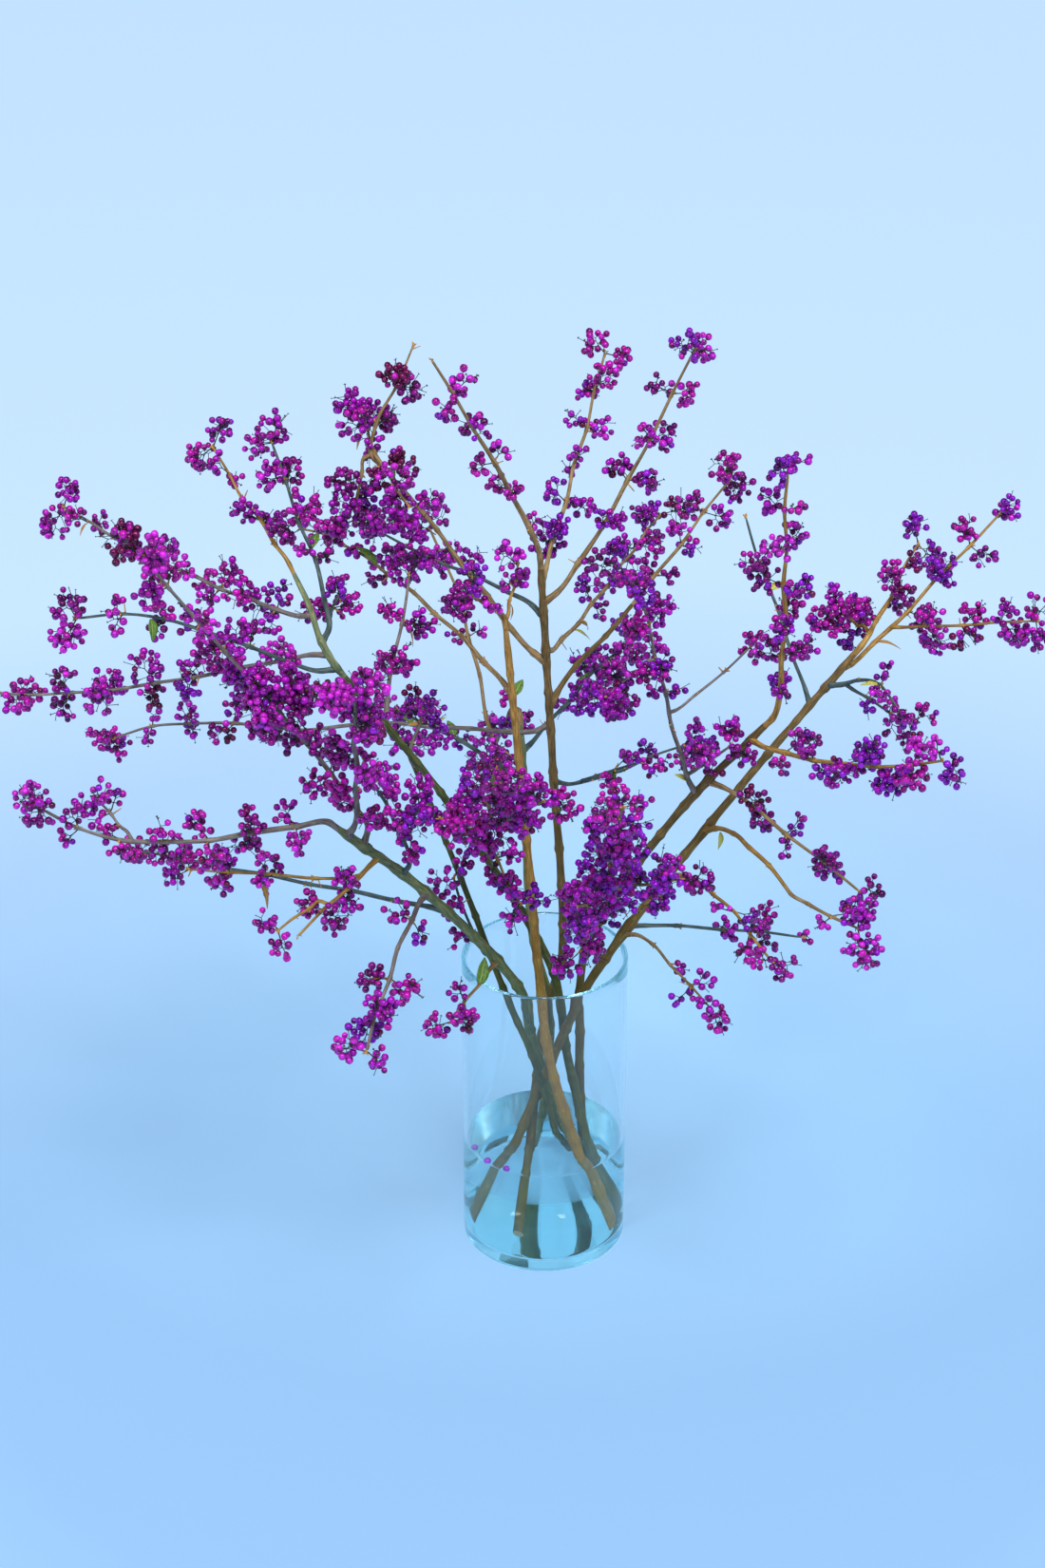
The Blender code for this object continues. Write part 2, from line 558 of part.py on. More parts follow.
def tube_mesh(name, path, radii, resolution, grown=0.0):
    """A tapering tube with welded caps, made from a curve."""
    curve = bpy.data.curves.new(name, "CURVE")
    curve.dimensions = "3D"
    curve.bevel_depth = 1.0
    curve.bevel_resolution = resolution
    curve.use_fill_caps = True
    spline = curve.splines.new("POLY")
    spline.points.add(len(path) - 1)
    for point, position, radius in zip(spline.points, path, radii):
        point.co = (*position, 1.0)
        point.radius = radius + grown
    guide = bpy.data.objects.new(name, curve)
    bpy.context.scene.collection.objects.link(guide)
    evaluated = guide.evaluated_get(bpy.context.evaluated_depsgraph_get())
    mesh = bpy.data.meshes.new_from_object(evaluated)
    bpy.data.objects.remove(guide)
    bpy.data.curves.remove(curve)
    shape = bmesh.new()
    shape.from_mesh(mesh)
    bmesh.ops.remove_doubles(shape, verts=shape.verts, dist=0.00001)
    bmesh.ops.recalc_face_normals(shape, faces=shape.faces)
    shape.to_mesh(mesh)
    shape.free()
    mesh.materials.clear()
    return mesh


def turned_object(name, profile, collection, material):
    """A turned body from its profile, as (radius, height) points that end on the axis."""
    mesh = bpy.data.meshes.new(name)
    points = [(radius, 0.0, height) for radius, height in profile]
    mesh.from_pydata(points, [(index, index + 1) for index in range(len(points) - 1)], [])
    piece = link_object(name, mesh, collection, material)
    screw = piece.modifiers.new("Turn", "SCREW")
    screw.steps = TURNED_STEPS
    screw.render_steps = TURNED_STEPS
    screw.use_merge_vertices = True
    screw.merge_threshold = 0.00001
    return piece


def arc_points(centre, radius, first, last, count):
    angles = [math.radians(first + (last - first) * step / count) for step in range(count + 1)]
    return [(centre[0] + radius * math.cos(a), centre[1] + radius * math.sin(a)) for a in angles]


def make_vase(collection):
    outer = 0.5 * VASE_DIAMETER
    inner = outer - GLASS_WALL
    rim = 0.5 * GLASS_WALL
    profile = [(0.0, GLASS_BASE)]
    profile += arc_points((inner - INNER_FILLET, GLASS_BASE + INNER_FILLET), INNER_FILLET, -90, 0, 2)
    profile += arc_points((outer - rim, VASE_HEIGHT - rim), rim, 180, 0, 3)
    profile += arc_points((outer - HEEL_RADIUS, HEEL_RADIUS), HEEL_RADIUS, 0, -90, 2)
    profile += [(0.0, 0.0)]
    return turned_object("vase", profile, collection, make_material("clear_glass"))


def make_water(collection, cutters):
    """The water round the stems, cut clear of each."""
    side = 0.5 * VASE_DIAMETER - GLASS_WALL - GAP
    floor = GLASS_BASE + GAP
    profile = [(0.0, WATER_LEVEL), (side, WATER_LEVEL), (side, floor + INNER_FILLET),
               (side - INNER_FILLET, floor), (0.0, floor)]
    water = turned_object("water", profile, collection, make_material("clear_water"))
    cut = water.modifiers.new("Stems", "BOOLEAN")
    cut.operation = "DIFFERENCE"
    cut.operand_type = "COLLECTION"
    cut.collection = cutters
    return water


def make_stem_cutters(limbs, cutters):
    """Each stem grown by the gap and carried on below its foot."""
    for name in STEMS:
        limb = limbs[name]
        inside = limb.path[:, 2] < WATER_LEVEL + 2 * SCAR_SPACING
        path = limb.path[inside]
        radii = limb.radii[inside]
        drop = unit(path[0] - path[1]) * GLASS_BASE
        path = np.vstack([path[0] + drop, path])
        radii = np.concatenate([radii[:1], radii])
        cutter = link_object(name + "_cutter", tube_mesh(name, path, radii, 1, GAP), cutters)
        cutter.hide_render = True
        cutter.display_type = "WIRE"


def bunch_mesh(bunch, turn):
    """A ball stretched along the bunch, turned so that its corners differ from its neighbours'."""
    shape = bmesh.new()
    bmesh.ops.create_icosphere(shape, subdivisions=1, radius=1.0)
    stretch = Matrix.Diagonal((bunch.width, bunch.width, bunch.length, 1.0))
    lean = Vector(bunch.axis).to_track_quat("Z", "Y").to_matrix().to_4x4()
    spin = Matrix.Rotation(turn, 4, "Z")
    place_at = Matrix.Translation(Vector(bunch.centre))
    bmesh.ops.transform(shape, matrix=place_at @ lean @ spin @ stretch, verts=shape.verts)
    mesh = bpy.data.meshes.new("bunch")
    shape.to_mesh(mesh)
    shape.free()
    return mesh


def keep_largest_shell(mesh):
    """Drops loose scraps and fills sealed hollows, leaving one closed body."""
    shape = bmesh.new()
    shape.from_mesh(mesh)
    bmesh.ops.triangulate(shape, faces=shape.faces)
    unseen = set(shape.faces)
    shells = []
    while unseen:
        front = [unseen.pop()]
        shell = list(front)
        while front:
            face = front.pop()
            for edge in face.edges:
                for neighbour in edge.link_faces:
                    if neighbour in unseen:
                        unseen.remove(neighbour)
                        front.append(neighbour)
                        shell.append(neighbour)
        shells.append(shell)

    def volume(shell):
        total = 0.0
        for face in shell:
            a, b, c = (corner.co for corner in face.verts)
            total += a.dot(b.cross(c)) / 6
        return total

    shells.sort(key=volume, reverse=True)
    loose = [face for shell in shells[1:] for face in shell]
    bmesh.ops.delete(shape, geom=loose, context="FACES")
    shape.to_mesh(mesh)
    shape.free()


def make_spray(node, limbs, bunches, collection, material):
    """One mass: its shoots and their bunches of berries fused by one union."""
    shoots = [limbs[name] for name in SHOOTS if limbs[name].node == node]
    own = [bunch for bunch in bunches if bunch.limb.node == node]
    extra = bpy.data.collections.new(node + "_parts")
    bpy.context.scene.collection.children.link(extra)
    spray = link_object(node, tube_mesh(node, shoots[0].path, shoots[0].radii, 0), collection, material)
    for side in shoots[1:]:
        link_object(side.name, tube_mesh(side.name, side.path, side.radii, 0), extra)
    for index, bunch in enumerate(own):
        link_object(f"{node}_bunch_{index}", bunch_mesh(bunch, index), extra)
    if extra.objects:
        union = spray.modifiers.new("Fuse", "BOOLEAN")
        union.operation = "UNION"
        union.operand_type = "COLLECTION"
        union.collection = extra
        evaluated = spray.evaluated_get(bpy.context.evaluated_depsgraph_get())
        fused = bpy.data.meshes.new_from_object(evaluated)
        spray.modifiers.clear()
        spray.data = fused
        fused.name = node
    for part in list(extra.objects):
        bpy.data.objects.remove(part)
    bpy.data.collections.remove(extra)
    keep_largest_shell(spray.data)
    spray.data.materials.clear()
    spray.data.materials.append(material)
    return spray


def main():
    for leftover in list(bpy.data.objects):
        bpy.data.objects.remove(leftover)
    parts = bpy.data.collections.new("beautyberry_vase")
    cutters = bpy.data.collections.new("cutters")
    for collection in (parts, cutters):
        bpy.context.scene.collection.children.link(collection)
    limbs, space = grow_limbs()
    bunches = grow_clusters(limbs, space)[1]
    make_vase(parts)
    make_stem_cutters(limbs, cutters)
    make_water(parts, cutters)
    bark = make_material("bark")
    green = make_material("green_bark")
    for name in STEMS:
        limb = limbs[name]
        link_object(name, tube_mesh(name, limb.path, limb.radii, 1), parts, green)
    for name in BOUGHS:
        limb = limbs[name]
        link_object(name, tube_mesh(name, limb.path, limb.radii, 1), parts, bark)
    purple = make_material("purple_berries")
    magenta = make_material("magenta_berries")
    for name in SHOOTS:
        if limbs[name].node == name:
            tint = magenta if limbs[name].path[-1][0] < 0 else purple
            make_spray(name, limbs, bunches, parts, tint)


main()
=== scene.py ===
"""Looks of the cut beautyberry branches in their glass vase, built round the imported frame.

Metres, +Z up, origin at the centre of the vase's underside. The limbs and berry clusters grow by the
same rule as the part's own solids, and are carried on here to stalks, single berries, buds and leaves.
"""

import math
from collections import namedtuple

import bpy
import numpy as np
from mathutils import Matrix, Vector
from mathutils.kdtree import KDTree


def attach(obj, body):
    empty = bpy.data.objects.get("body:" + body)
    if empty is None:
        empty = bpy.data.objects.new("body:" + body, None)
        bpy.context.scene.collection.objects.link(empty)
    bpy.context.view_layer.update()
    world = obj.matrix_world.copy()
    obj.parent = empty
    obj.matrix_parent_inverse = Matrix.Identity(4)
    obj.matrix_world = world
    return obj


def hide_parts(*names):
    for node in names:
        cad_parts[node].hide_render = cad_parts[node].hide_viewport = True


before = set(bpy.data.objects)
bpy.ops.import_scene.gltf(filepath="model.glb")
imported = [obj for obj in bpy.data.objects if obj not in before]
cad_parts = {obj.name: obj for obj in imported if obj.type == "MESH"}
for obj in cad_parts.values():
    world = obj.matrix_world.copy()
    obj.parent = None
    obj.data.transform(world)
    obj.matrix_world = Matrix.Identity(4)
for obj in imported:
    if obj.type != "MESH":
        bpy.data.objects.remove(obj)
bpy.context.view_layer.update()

# Vase and water
VASE_DIAMETER = 0.100
VASE_HEIGHT = 0.200
GLASS_WALL = 0.0025
GLASS_BASE = 0.008
INNER_FILLET = 0.004
HEEL_RADIUS = 0.004
WATER_LEVEL = 0.070
CROSSING_HEIGHT = 0.135

# Clearance between pieces that touch
GAP = 0.0003

# Growth of the branches
SCAR_SPACING = 0.026
LEAVE_ANGLE = 58
LEAVE_LENGTH = 0.006
HANDLE_MOST = 0.025
HANDLE_SHARE = 0.30
ARC_SAMPLES = 40
PULL_SHARE = 0.66
PULL_WEIGHT = 8 / 3
KINK = 0.0008
SWING_STEP = 0.005
SWING_TRIES = 7
LIMB_CLEARANCE = 0.0010
ROOT_ZONE = 0.016

# Berry clusters
BERRIES_LEAST = 5
BERRIES_MEAN = 17
BERRIES_SPREAD = 0.35
QUARTER_TURN = 0.5 * math.pi
TURN_SPREAD = 0.3
UPRIGHT = 0.95
LEAN_LEAST = 0.1
LEAN_MOST = 0.7
CLUSTER_SIZE = 0.0033
CLUSTER_STANDOFF = 0.75
CLUSTER_SHRINK = 0.6
CLUSTER_TRIES = 3
CLUSTER_CLEARANCE = 0.0008
PEDUNCLE_LENGTH = 0.0028
PEDUNCLE_RADIUS = 0.0007
PEDUNCLE_SUNK = 0.3
BUNCH_LEAST = 9

# Each stem: foot, waist and mouth as (bearing, reach) from the vase's axis, the tip as (bearing, reach,
# height), the upward bow of its free stretch, and its thickness at the foot and at the tip
STEMS = {
    "stem_left": ((27, 0.035), (230, 0.008), (245, 0.039), (218, 0.148, 0.338), 0.009, 0.007, 0.005),
    "stem_left_thin": ((62, 0.036), (261, 0.027), (232, 0.042), (202, 0.081, 0.344), 0.003, 0.0048, 0.003),
    "stem_front": ((345, 0.038), (279, 0.036), (264, 0.03), (221, 0.03, 0.425), 0.003, 0.007, 0.0038),
    "stem_cross": ((5, 0.037), (342, 0.014), (288, 0.006), (208, 0.128, 0.418), 0.012, 0.0062, 0.0036),
    "stem_centre": ((236, 0.024), (101, 0.01), (50, 0.017), (107, 0.01, 0.45), 0.004, 0.0056, 0.004),
    "stem_right_high": ((47, 0.038), (29, 0.025), (33, 0.033), (351, 0.127, 0.365), 0.013, 0.006, 0.0044),
    "stem_right_low": ((185, 0.037), (291, 0.014), (346, 0.036), (18, 0.192, 0.371), 0.005, 0.0066, 0.004),
    "stem_back": ((100, 0.037), (78, 0.018), (103, 0.037), (98, 0.105, 0.3), 0.006, 0.0058, 0.0044),
}

# Each bough: limb it grows on and share along it, tip as (bearing, reach, height), upward bow, and its
# thickness at the root and at the tip
BOUGHS = {
    "bough_upper_left": ("stem_cross", 1, (188, 0.142, 0.46), 0, 0.0036, 0.003),
    "bough_level_left": ("stem_centre", 0.775, (156, 0.147, 0.321), 0.004, 0.0028, 0.0022),
    "bough_top_left": ("stem_centre", 0.865, (152, 0.107, 0.496), 0.003, 0.0034, 0.0024),
    "bough_back_right": ("stem_centre", 0.8, (59, 0.1, 0.39), 0, 0.0034, 0.0026),
    "bough_low_right": ("stem_right_low", 0.69, (328, 0.16, 0.295), 0.003, 0.003, 0.0024),
}

# Each berry shoot: limb it grows on and share along it, tip as (bearing, reach, height), upward bow,
# thickness at the root and at the tip, and how full its clusters are at even steps from root to tip,
# where 0 is bare. A shoot that grows on another shoot is fused to it
SHOOTS = {
    "spray_arc": ("stem_left", 1, (207, 0.305, 0.376), -0.016, 0.0036, 0.0016, (0, 0.9, 0.9, 0.6, 0.2, 1)),
    "arc_side": ("spray_arc", 0.68, (206, 0.272, 0.371), 0, 0.0018, 0.0012, (0, 0.2, 0.6)),
    "spray_left_hanging": ("stem_left", 0.905, (228, 0.202, 0.304), 0, 0.0026, 0.0014,
        (0.8, 0.9, 1.1, 0.9, 0.2)),
    "hanging_side": ("spray_left_hanging", 0.2, (199, 0.214, 0.299), 0, 0.002, 0.0012,
        (0, 0.2, 0.3, 0.8, 0.9)),
    "hanging_low": ("spray_left_hanging", 0.6, (226, 0.21, 0.308), 0, 0.0018, 0.0012, (0, 0, 0.5)),
    "spray_low_left": ("stem_left", 0.74, (180, 0.239, 0.271), 0, 0.003, 0.0014,
        (0, 0, 0.1, 0.3, 0.6, 0.7)),
    "spray_front_hanging": ("stem_left", 0.79, (244, 0.222, 0.261), 0.004, 0.003, 0.0016,
        (0, 0.5, 0.1, 1.1, 1.7, 0.9)),
    "spray_rim_left": ("stem_left", 0.6, (246, 0.131, 0.229), 0, 0.0024, 0.0014, (0, 0, 0.5, 1.3)),
    "spray_front_tall": ("stem_left", 0.975, (241, 0.206, 0.467), 0, 0.0034, 0.0018,
        (0, 0.6, 1.5, 1.3, 1.5, 1.4)),
    "spray_front_inner": ("stem_left", 0.85, (233, 0.164, 0.403), 0, 0.0026, 0.0014,
        (0, 0.4, 0.9, 0.9, 1.1, 1.2)),
    "inner_upper": ("spray_front_inner", 0.35, (242, 0.148, 0.372), 0, 0.002, 0.0012, (0, 0.8, 1.1)),
    "spray_left_front": ("stem_left", 0.94, (216, 0.258, 0.533), 0, 0.003, 0.0016,
        (0, 0.9, 1, 1.2, 0.3, 1.8)),
    "left_front_side": ("spray_left_front", 0.5, (222, 0.186, 0.433), 0, 0.002, 0.0014, (0.5, 1.5, 1.6)),
    "spray_far_left": ("bough_upper_left", 1, (153, 0.218, 0.486), -0.003, 0.0024, 0.0014,
        (0.3, 0.2, 0.7, 0.1, 0.3, 1.4)),
    "spray_upper_left": ("bough_upper_left", 0.32, (169, 0.157, 0.518), 0, 0.0028, 0.0014,
        (0.9, 0.8, 0.4, 0.9, 1.2, 0.9)),
    "upper_side": ("spray_upper_left", 0.1, (176, 0.116, 0.443), 0, 0.002, 0.0012, (0.6, 1.2, 0.5, 0)),
    "spray_left_rising": ("bough_upper_left", 0.58, (157, 0.312, 0.438), -0.004, 0.0026, 0.0014,
        (0.2, 1, 0.7, 1.1, 0.1, 1.1)),
    "spray_left_upper": ("bough_upper_left", 0.06, (202, 0.271, 0.472), 0.01, 0.0026, 0.0014,
        (1.5, 0.4, 0.6, 0.7, 0.4, 1.3)),
    "spray_left_long": ("bough_upper_left", 0.2, (185, 0.318, 0.391), -0.007, 0.0026, 0.0014,
        (0.9, 1.3, 0.7, 1.5, 0.5, 1.3)),
    "spray_level_left": ("bough_level_left", 1, (159, 0.282, 0.293), 0.007, 0.0022, 0.0014,
        (0.3, 1.2, 0.8, 0.6, 0.3, 1.3)),
    "spray_inner_left": ("stem_cross", 0.9, (180, 0.077, 0.45), 0, 0.0028, 0.0014, (1, 1.1, 0.9, 1.7)),
    "spray_mid_left": ("stem_centre", 0.93, (135, 0.143, 0.433), -0.002, 0.0028, 0.0014,
        (0, 0, 0.6, 0.5, 1.2, 1.3)),
    "spray_far_back_left": ("stem_front", 0.905, (130, 0.234, 0.398), 0.011, 0.003, 0.0014,
        (0, 0, 0, 0.5, 0.3, 0.5)),
    "spray_top_left": ("bough_top_left", 1, (137, 0.103, 0.56), 0, 0.0024, 0.0012, (0.8, 0.3, 1.1, 0.1)),
    "top_left_side": ("spray_top_left", 0.05, (143, 0.134, 0.516), 0, 0.0018, 0.0012, (0.7, 0.9, 1.3)),
    "top_left_low": ("spray_top_left", 0.12, (172, 0.078, 0.488), 0, 0.002, 0.0014, (0.8, 1, 1.3, 1.6)),
    "top_left_under": ("spray_top_left", 0.1, (160, 0.116, 0.467), 0, 0.002, 0.0014, (0.8, 1.4, 1.5)),
    "spray_top": ("stem_centre", 1, (213, 0.073, 0.594), 0.002, 0.0036, 0.0014,
        (0.6, 0.3, 0.6, 0.4, 0.8, 0)),
    "spray_front_top": ("stem_front", 1, (230, 0.065, 0.462), 0, 0.003, 0.0016, (0, 0, 0.6, 1.1)),
    "front_top_side": ("spray_front_top", 0.1, (180, 0.016, 0.456), 0, 0.002, 0.0014, (0, 0.2, 0.6, 0.8)),
    "spray_top_back": ("stem_centre", 0.98, (75, 0.136, 0.532), -0.002, 0.0028, 0.0014,
        (0.8, 1.5, 0.2, 0.6, 0.8, 0.7)),
    "spray_top_right": ("stem_centre", 0.95, (20, 0.087, 0.573), -0.004, 0.0032, 0.0014,
        (0, 1.1, 0.3, 1.3, 0.4, 1.2)),
    "spray_back_right": ("bough_back_right", 1, (54, 0.19, 0.441), 0, 0.0026, 0.0014, (0.5, 0.4, 0.9, 1.5)),
    "spray_far_back_right": ("stem_centre", 0.885, (70, 0.213, 0.398), 0, 0.0028, 0.0014,
        (0, 0.1, 0.5, 0.8, 0.9, 1.2)),
    "spray_right_inner": ("stem_right_high", 0.83, (315, 0.071, 0.464), 0.002, 0.0028, 0.0014,
        (0, 0.3, 0.1, 0.7, 1.8, 1.1)),
    "inner_low": ("spray_right_inner", 0.08, (348, 0.108, 0.353), 0, 0.002, 0.0014, (0.6, 1.2, 1.2)),
    "inner_side": ("spray_right_inner", 0.4, (18, 0.126, 0.386), 0, 0.0018, 0.0012, (0, 0.1, 0.2, 0.7)),
    "inner_front": ("spray_right_inner", 0.66, (300, 0.068, 0.404), 0, 0.0018, 0.0012, (0, 0.6, 1.4, 1.7)),
    "spray_mid_right": ("stem_centre", 0.69, (37, 0.105, 0.308), 0, 0.0024, 0.0014, (0, 0, 0.2, 0.5, 0.8)),
    "mid_right_side": ("spray_mid_right", 0.2, (322, 0.066, 0.352), 0, 0.002, 0.0012, (0, 0.3, 0.5)),
    "spray_right_tall": ("stem_right_high", 1, (339, 0.139, 0.534), 0.002, 0.0036, 0.0016,
        (0.2, 0.5, 0.8, 1.2, 0.6, 0.6)),
    "spray_right_behind": ("stem_right_low", 0.91, (40, 0.155, 0.441), -0.002, 0.0024, 0.0014,
        (1, 0.6, 0.2, 0.6, 0)),
    "spray_right_far": ("stem_right_low", 1, (35, 0.28, 0.396), 0, 0.0034, 0.0014, (0, 0.6, 0.7, 0.6, 1)),
    "far_side": ("spray_right_far", 0.15, (25, 0.192, 0.388), 0, 0.002, 0.0014, (0.5, 1.2, 1.1)),
    "spray_right_long": ("stem_right_low", 0.975, (24, 0.298, 0.434), 0, 0.003, 0.0014,
        (0, 0.1, 0.9, 1.2, 0.9, 0.9)),
    "long_side": ("spray_right_long", 0.3, (8, 0.288, 0.402), 0, 0.002, 0.0012, (1, 1.4, 0.8, 1.2, 1.5)),
    "spray_right_low": ("stem_right_low", 0.945, (0, 0.205, 0.362), 0.01, 0.0026, 0.0014,
        (0, 0.3, 0.3, 0.4)),
    "low_side": ("spray_right_low", 0.15, (5, 0.215, 0.345), 0, 0.002, 0.0012, (0, 0.3, 0.4, 0.8)),
    "spray_right_front": ("stem_right_high", 0.965, (328, 0.249, 0.402), -0.005, 0.003, 0.0014,
        (0.3, 0.9, 0.8, 1.3, 1.6, 0.8)),
    "spray_front_right_low": ("stem_right_high", 0.86, (336, 0.194, 0.29), 0, 0.0028, 0.0014,
        (0.4, 0.8, 0.3, 1.2, 0.8)),
    "spray_low_right_tip": ("bough_low_right", 1, (320, 0.222, 0.304), 0, 0.0024, 0.0014, (0, 0, 0.3, 1.5)),
    "spray_rim_right": ("stem_right_low", 0.61, (316, 0.174, 0.27), 0.005, 0.0026, 0.0014,
        (1, 0.4, 0.1, 0.4, 0.7, 0.6)),
    "spray_rim_level": ("stem_right_low", 0.525, (7, 0.157, 0.2), 0.001, 0.0024, 0.0014,
        (0, 0, 0.5, 0.7, 0.3)),
    "spray_rim_front": ("stem_right_low", 0.51, (315, 0.132, 0.222), 0, 0.0022, 0.0012, (0, 0.1, 0.4, 0.7)),
    "spray_front_centre": ("stem_cross", 0.66, (261, 0.172, 0.417), 0.002, 0.0032, 0.0018,
        (0.5, 0.8, 1.3, 1.4, 1, 0.6)),
    "centre_left": ("spray_front_centre", 0.3, (248, 0.151, 0.371), 0, 0.002, 0.0014, (0.4, 1.3, 1.4)),
    "centre_right": ("spray_front_centre", 0.35, (269, 0.126, 0.374), 0, 0.002, 0.0014, (0.3, 1.1, 1.4)),
    "centre_low": ("spray_front_centre", 0.1, (258, 0.071, 0.277), 0, 0.002, 0.0014, (0.3, 0.8, 0.8)),
    "spray_front_right": ("stem_right_high", 0.57, (284, 0.165, 0.389), 0.003, 0.0032, 0.0018,
        (0.8, 1.2, 1.5, 1.4, 1.2, 0.9)),
    "right_base": ("spray_front_right", 0.06, (283, 0.087, 0.254), 0, 0.002, 0.0014, (0.3, 0.9, 1.1)),
    "right_low_side": ("spray_front_right", 0.2, (278, 0.121, 0.304), 0, 0.002, 0.0014, (0.4, 1, 1.2)),
    "right_side": ("spray_front_right", 0.3, (304, 0.133, 0.316), 0, 0.002, 0.0014, (0.3, 1.1, 1.5)),
    "spray_thin_tip": ("stem_left_thin", 1, (194, 0.072, 0.378), 0, 0.0028, 0.0014, (1, 1, 0.7, 0.6)),
    "spray_thin_low": ("stem_left_thin", 0.64, (220, 0.069, 0.278), 0, 0.0022, 0.0014, (0, 0.9, 1.4)),
    "spray_back_low": ("stem_back", 1, (100, 0.185, 0.235), 0.006, 0.0036, 0.0016, (0, 0.6, 0.9, 1.1, 1)),
    "spray_back_left": ("stem_back", 0.9, (127, 0.215, 0.285), 0.006, 0.003, 0.0016,
        (0, 0.6, 0.5, 0.9, 1.2, 1.3)),
    "spray_back_mid": ("stem_back", 0.95, (76, 0.225, 0.3), 0.004, 0.003, 0.0016,
        (0, 0.2, 0.9, 1.2, 1.1, 1.1)),
    "spray_back_high": ("stem_back", 0.8, (109, 0.22, 0.385), 0.004, 0.003, 0.0016,
        (0, 0, 0, 0.3, 0.9, 1.1)),
}

# Bark: rings and sides of the meshes, and the swelling at nodes, forks, roots and leaf scars
SPAN_SAMPLES = 16
STEEP = 0.9
STEM_SIDES = 20
BOUGH_SIDES = 14
LIMB_STEP = 0.0016
SHOOT_SIDES = 9
SHOOT_STEP = 0.0017
RIPPLE_WAVES = ((0, 0.025), (1, 0.02), (2, 0.03), (3, 0.015), (5, 0.008))
RIPPLE_LENGTHS = (0.02, 0.09)
NODE_SWELL = 0.16
NODE_LENGTH = 0.0024
FORK_SWELL = 0.22
FORK_LENGTH = 0.0042
ROOT_FLARE = 0.5
FLARE_LENGTH = 0.0035
SWELL_MOST = 0.5
SCAR_BELOW = 0.0010
SCAR_LENGTH = 0.0011
SCAR_WIDTH = 0.6
SCAR_LIFT = 0.00042
TIP_LEAST = 0.35
TIP_LENGTH = 0.004
ROOT_SUNK = 0.002
CUT_SLANT = 40
CUT_FADE = 0.014
SHARP_ANGLE = 45
BARE_TIPS = ("spray_top", "spray_top_back", "spray_left_hanging")
STEM_SEED = 100
BOUGH_SEED = 200
SHOOT_SEED = 300
FOLLOW_LENGTH = 0.022

# Bark's streaks, worn patches and pale lenticels
STREAK_STRETCH = 0.09
STREAK_SCALE = 1500.0
PATCH_SCALE = 85.0
LENTICEL_SCALE = 330.0
LENTICEL_STRETCH = 0.55
LENTICEL_EDGE = (0.24, 0.14)
LOW_HEIGHTS = (0.34, 0.10)
BARK_RELIEF = 0.0004
STREAK_EDGE = (0.38, 0.64)
PATCH_EDGE = (0.42, 0.68)
WORN_SHARE = 0.55
SPOT_SHARE = 0.5
SPOT_HEIGHT = 0.6
BARK_ROUGHNESS = (0.5, 0.78)

# The middle stretch of a noise that turns one tone or roughness into another
HALF_TONES = (0.35, 0.65)
ROUGH_TONES = (0.3, 0.7)

# Bark kinds: pale streaks, dark streaks, the tone under and near the water, and how far that takes over
BARKS = {
    "olive": ((142, 146, 104), (72, 90, 62), (94, 100, 22), 0.75),
    "moss": ((108, 110, 56), (48, 60, 32), (84, 84, 14), 0.8),
    "golden": ((190, 150, 78), (122, 88, 40), (138, 106, 14), 0.8),
    "brown": ((140, 112, 66), (78, 64, 34), (94, 84, 18), 0.8),
    "tan": ((172, 144, 100), (108, 86, 52), (112, 100, 44), 0.3),
    "grey": ((142, 132, 126), (92, 82, 78), (92, 82, 78), 0.2),
    "teal": ((98, 112, 108), (46, 64, 66), (46, 64, 66), 0.2),
}
LIMB_BARKS = {
    "stem_left": "olive", "stem_left_thin": "moss", "stem_front": "golden", "stem_cross": "moss",
    "stem_centre": "brown", "stem_right_high": "brown", "stem_right_low": "brown", "stem_back": "olive",
    "bough_upper_left": "olive", "bough_level_left": "grey", "bough_top_left": "tan",
    "bough_back_right": "brown", "bough_low_right": "golden",
}
SPRAY_BARKS = {
    "golden": ("spray_right_tall", "spray_right_long", "spray_right_front", "spray_right_far",
               "spray_left_hanging", "spray_far_left", "spray_rim_right", "spray_front_top"),
    "teal": ("spray_left_upper", "spray_low_left", "spray_back_mid", "spray_rim_level", "spray_upper_left",
             "spray_front_inner", "spray_right_behind", "spray_mid_right", "spray_mid_left",
             "spray_back_left", "spray_thin_low", "spray_right_low"),
    "grey": ("spray_arc", "spray_left_front", "spray_left_rising", "spray_left_long", "spray_level_left",
             "spray_front_tall", "spray_right_inner", "spray_thin_tip", "spray_inner_left",
             "spray_front_hanging"),
}

# Buds and dry stubs at the scars
BUD_SEED = 400
BUD_SIDES = 6
BUD_LEVELS = ((0.0, -0.5), (0.42, -0.35), (0.55, 0.1), (0.4, 0.6), (0.16, 1.05), (0.0, 1.3))
BUD_SIZES = (0.0009, 0.0015)
BUD_RISE = 0.9
BUD_ABOVE = 0.0014
TIP_BUD_SIZE = 0.0017
STUB_SHARE = 0.22
STUB_LENGTHS = (0.002, 0.006)
STUB_RADII = (0.0003, 0.0006)
STUB_SUNK = 0.8
STUB_BEND = 0.5
STUB_TAPER = 0.6

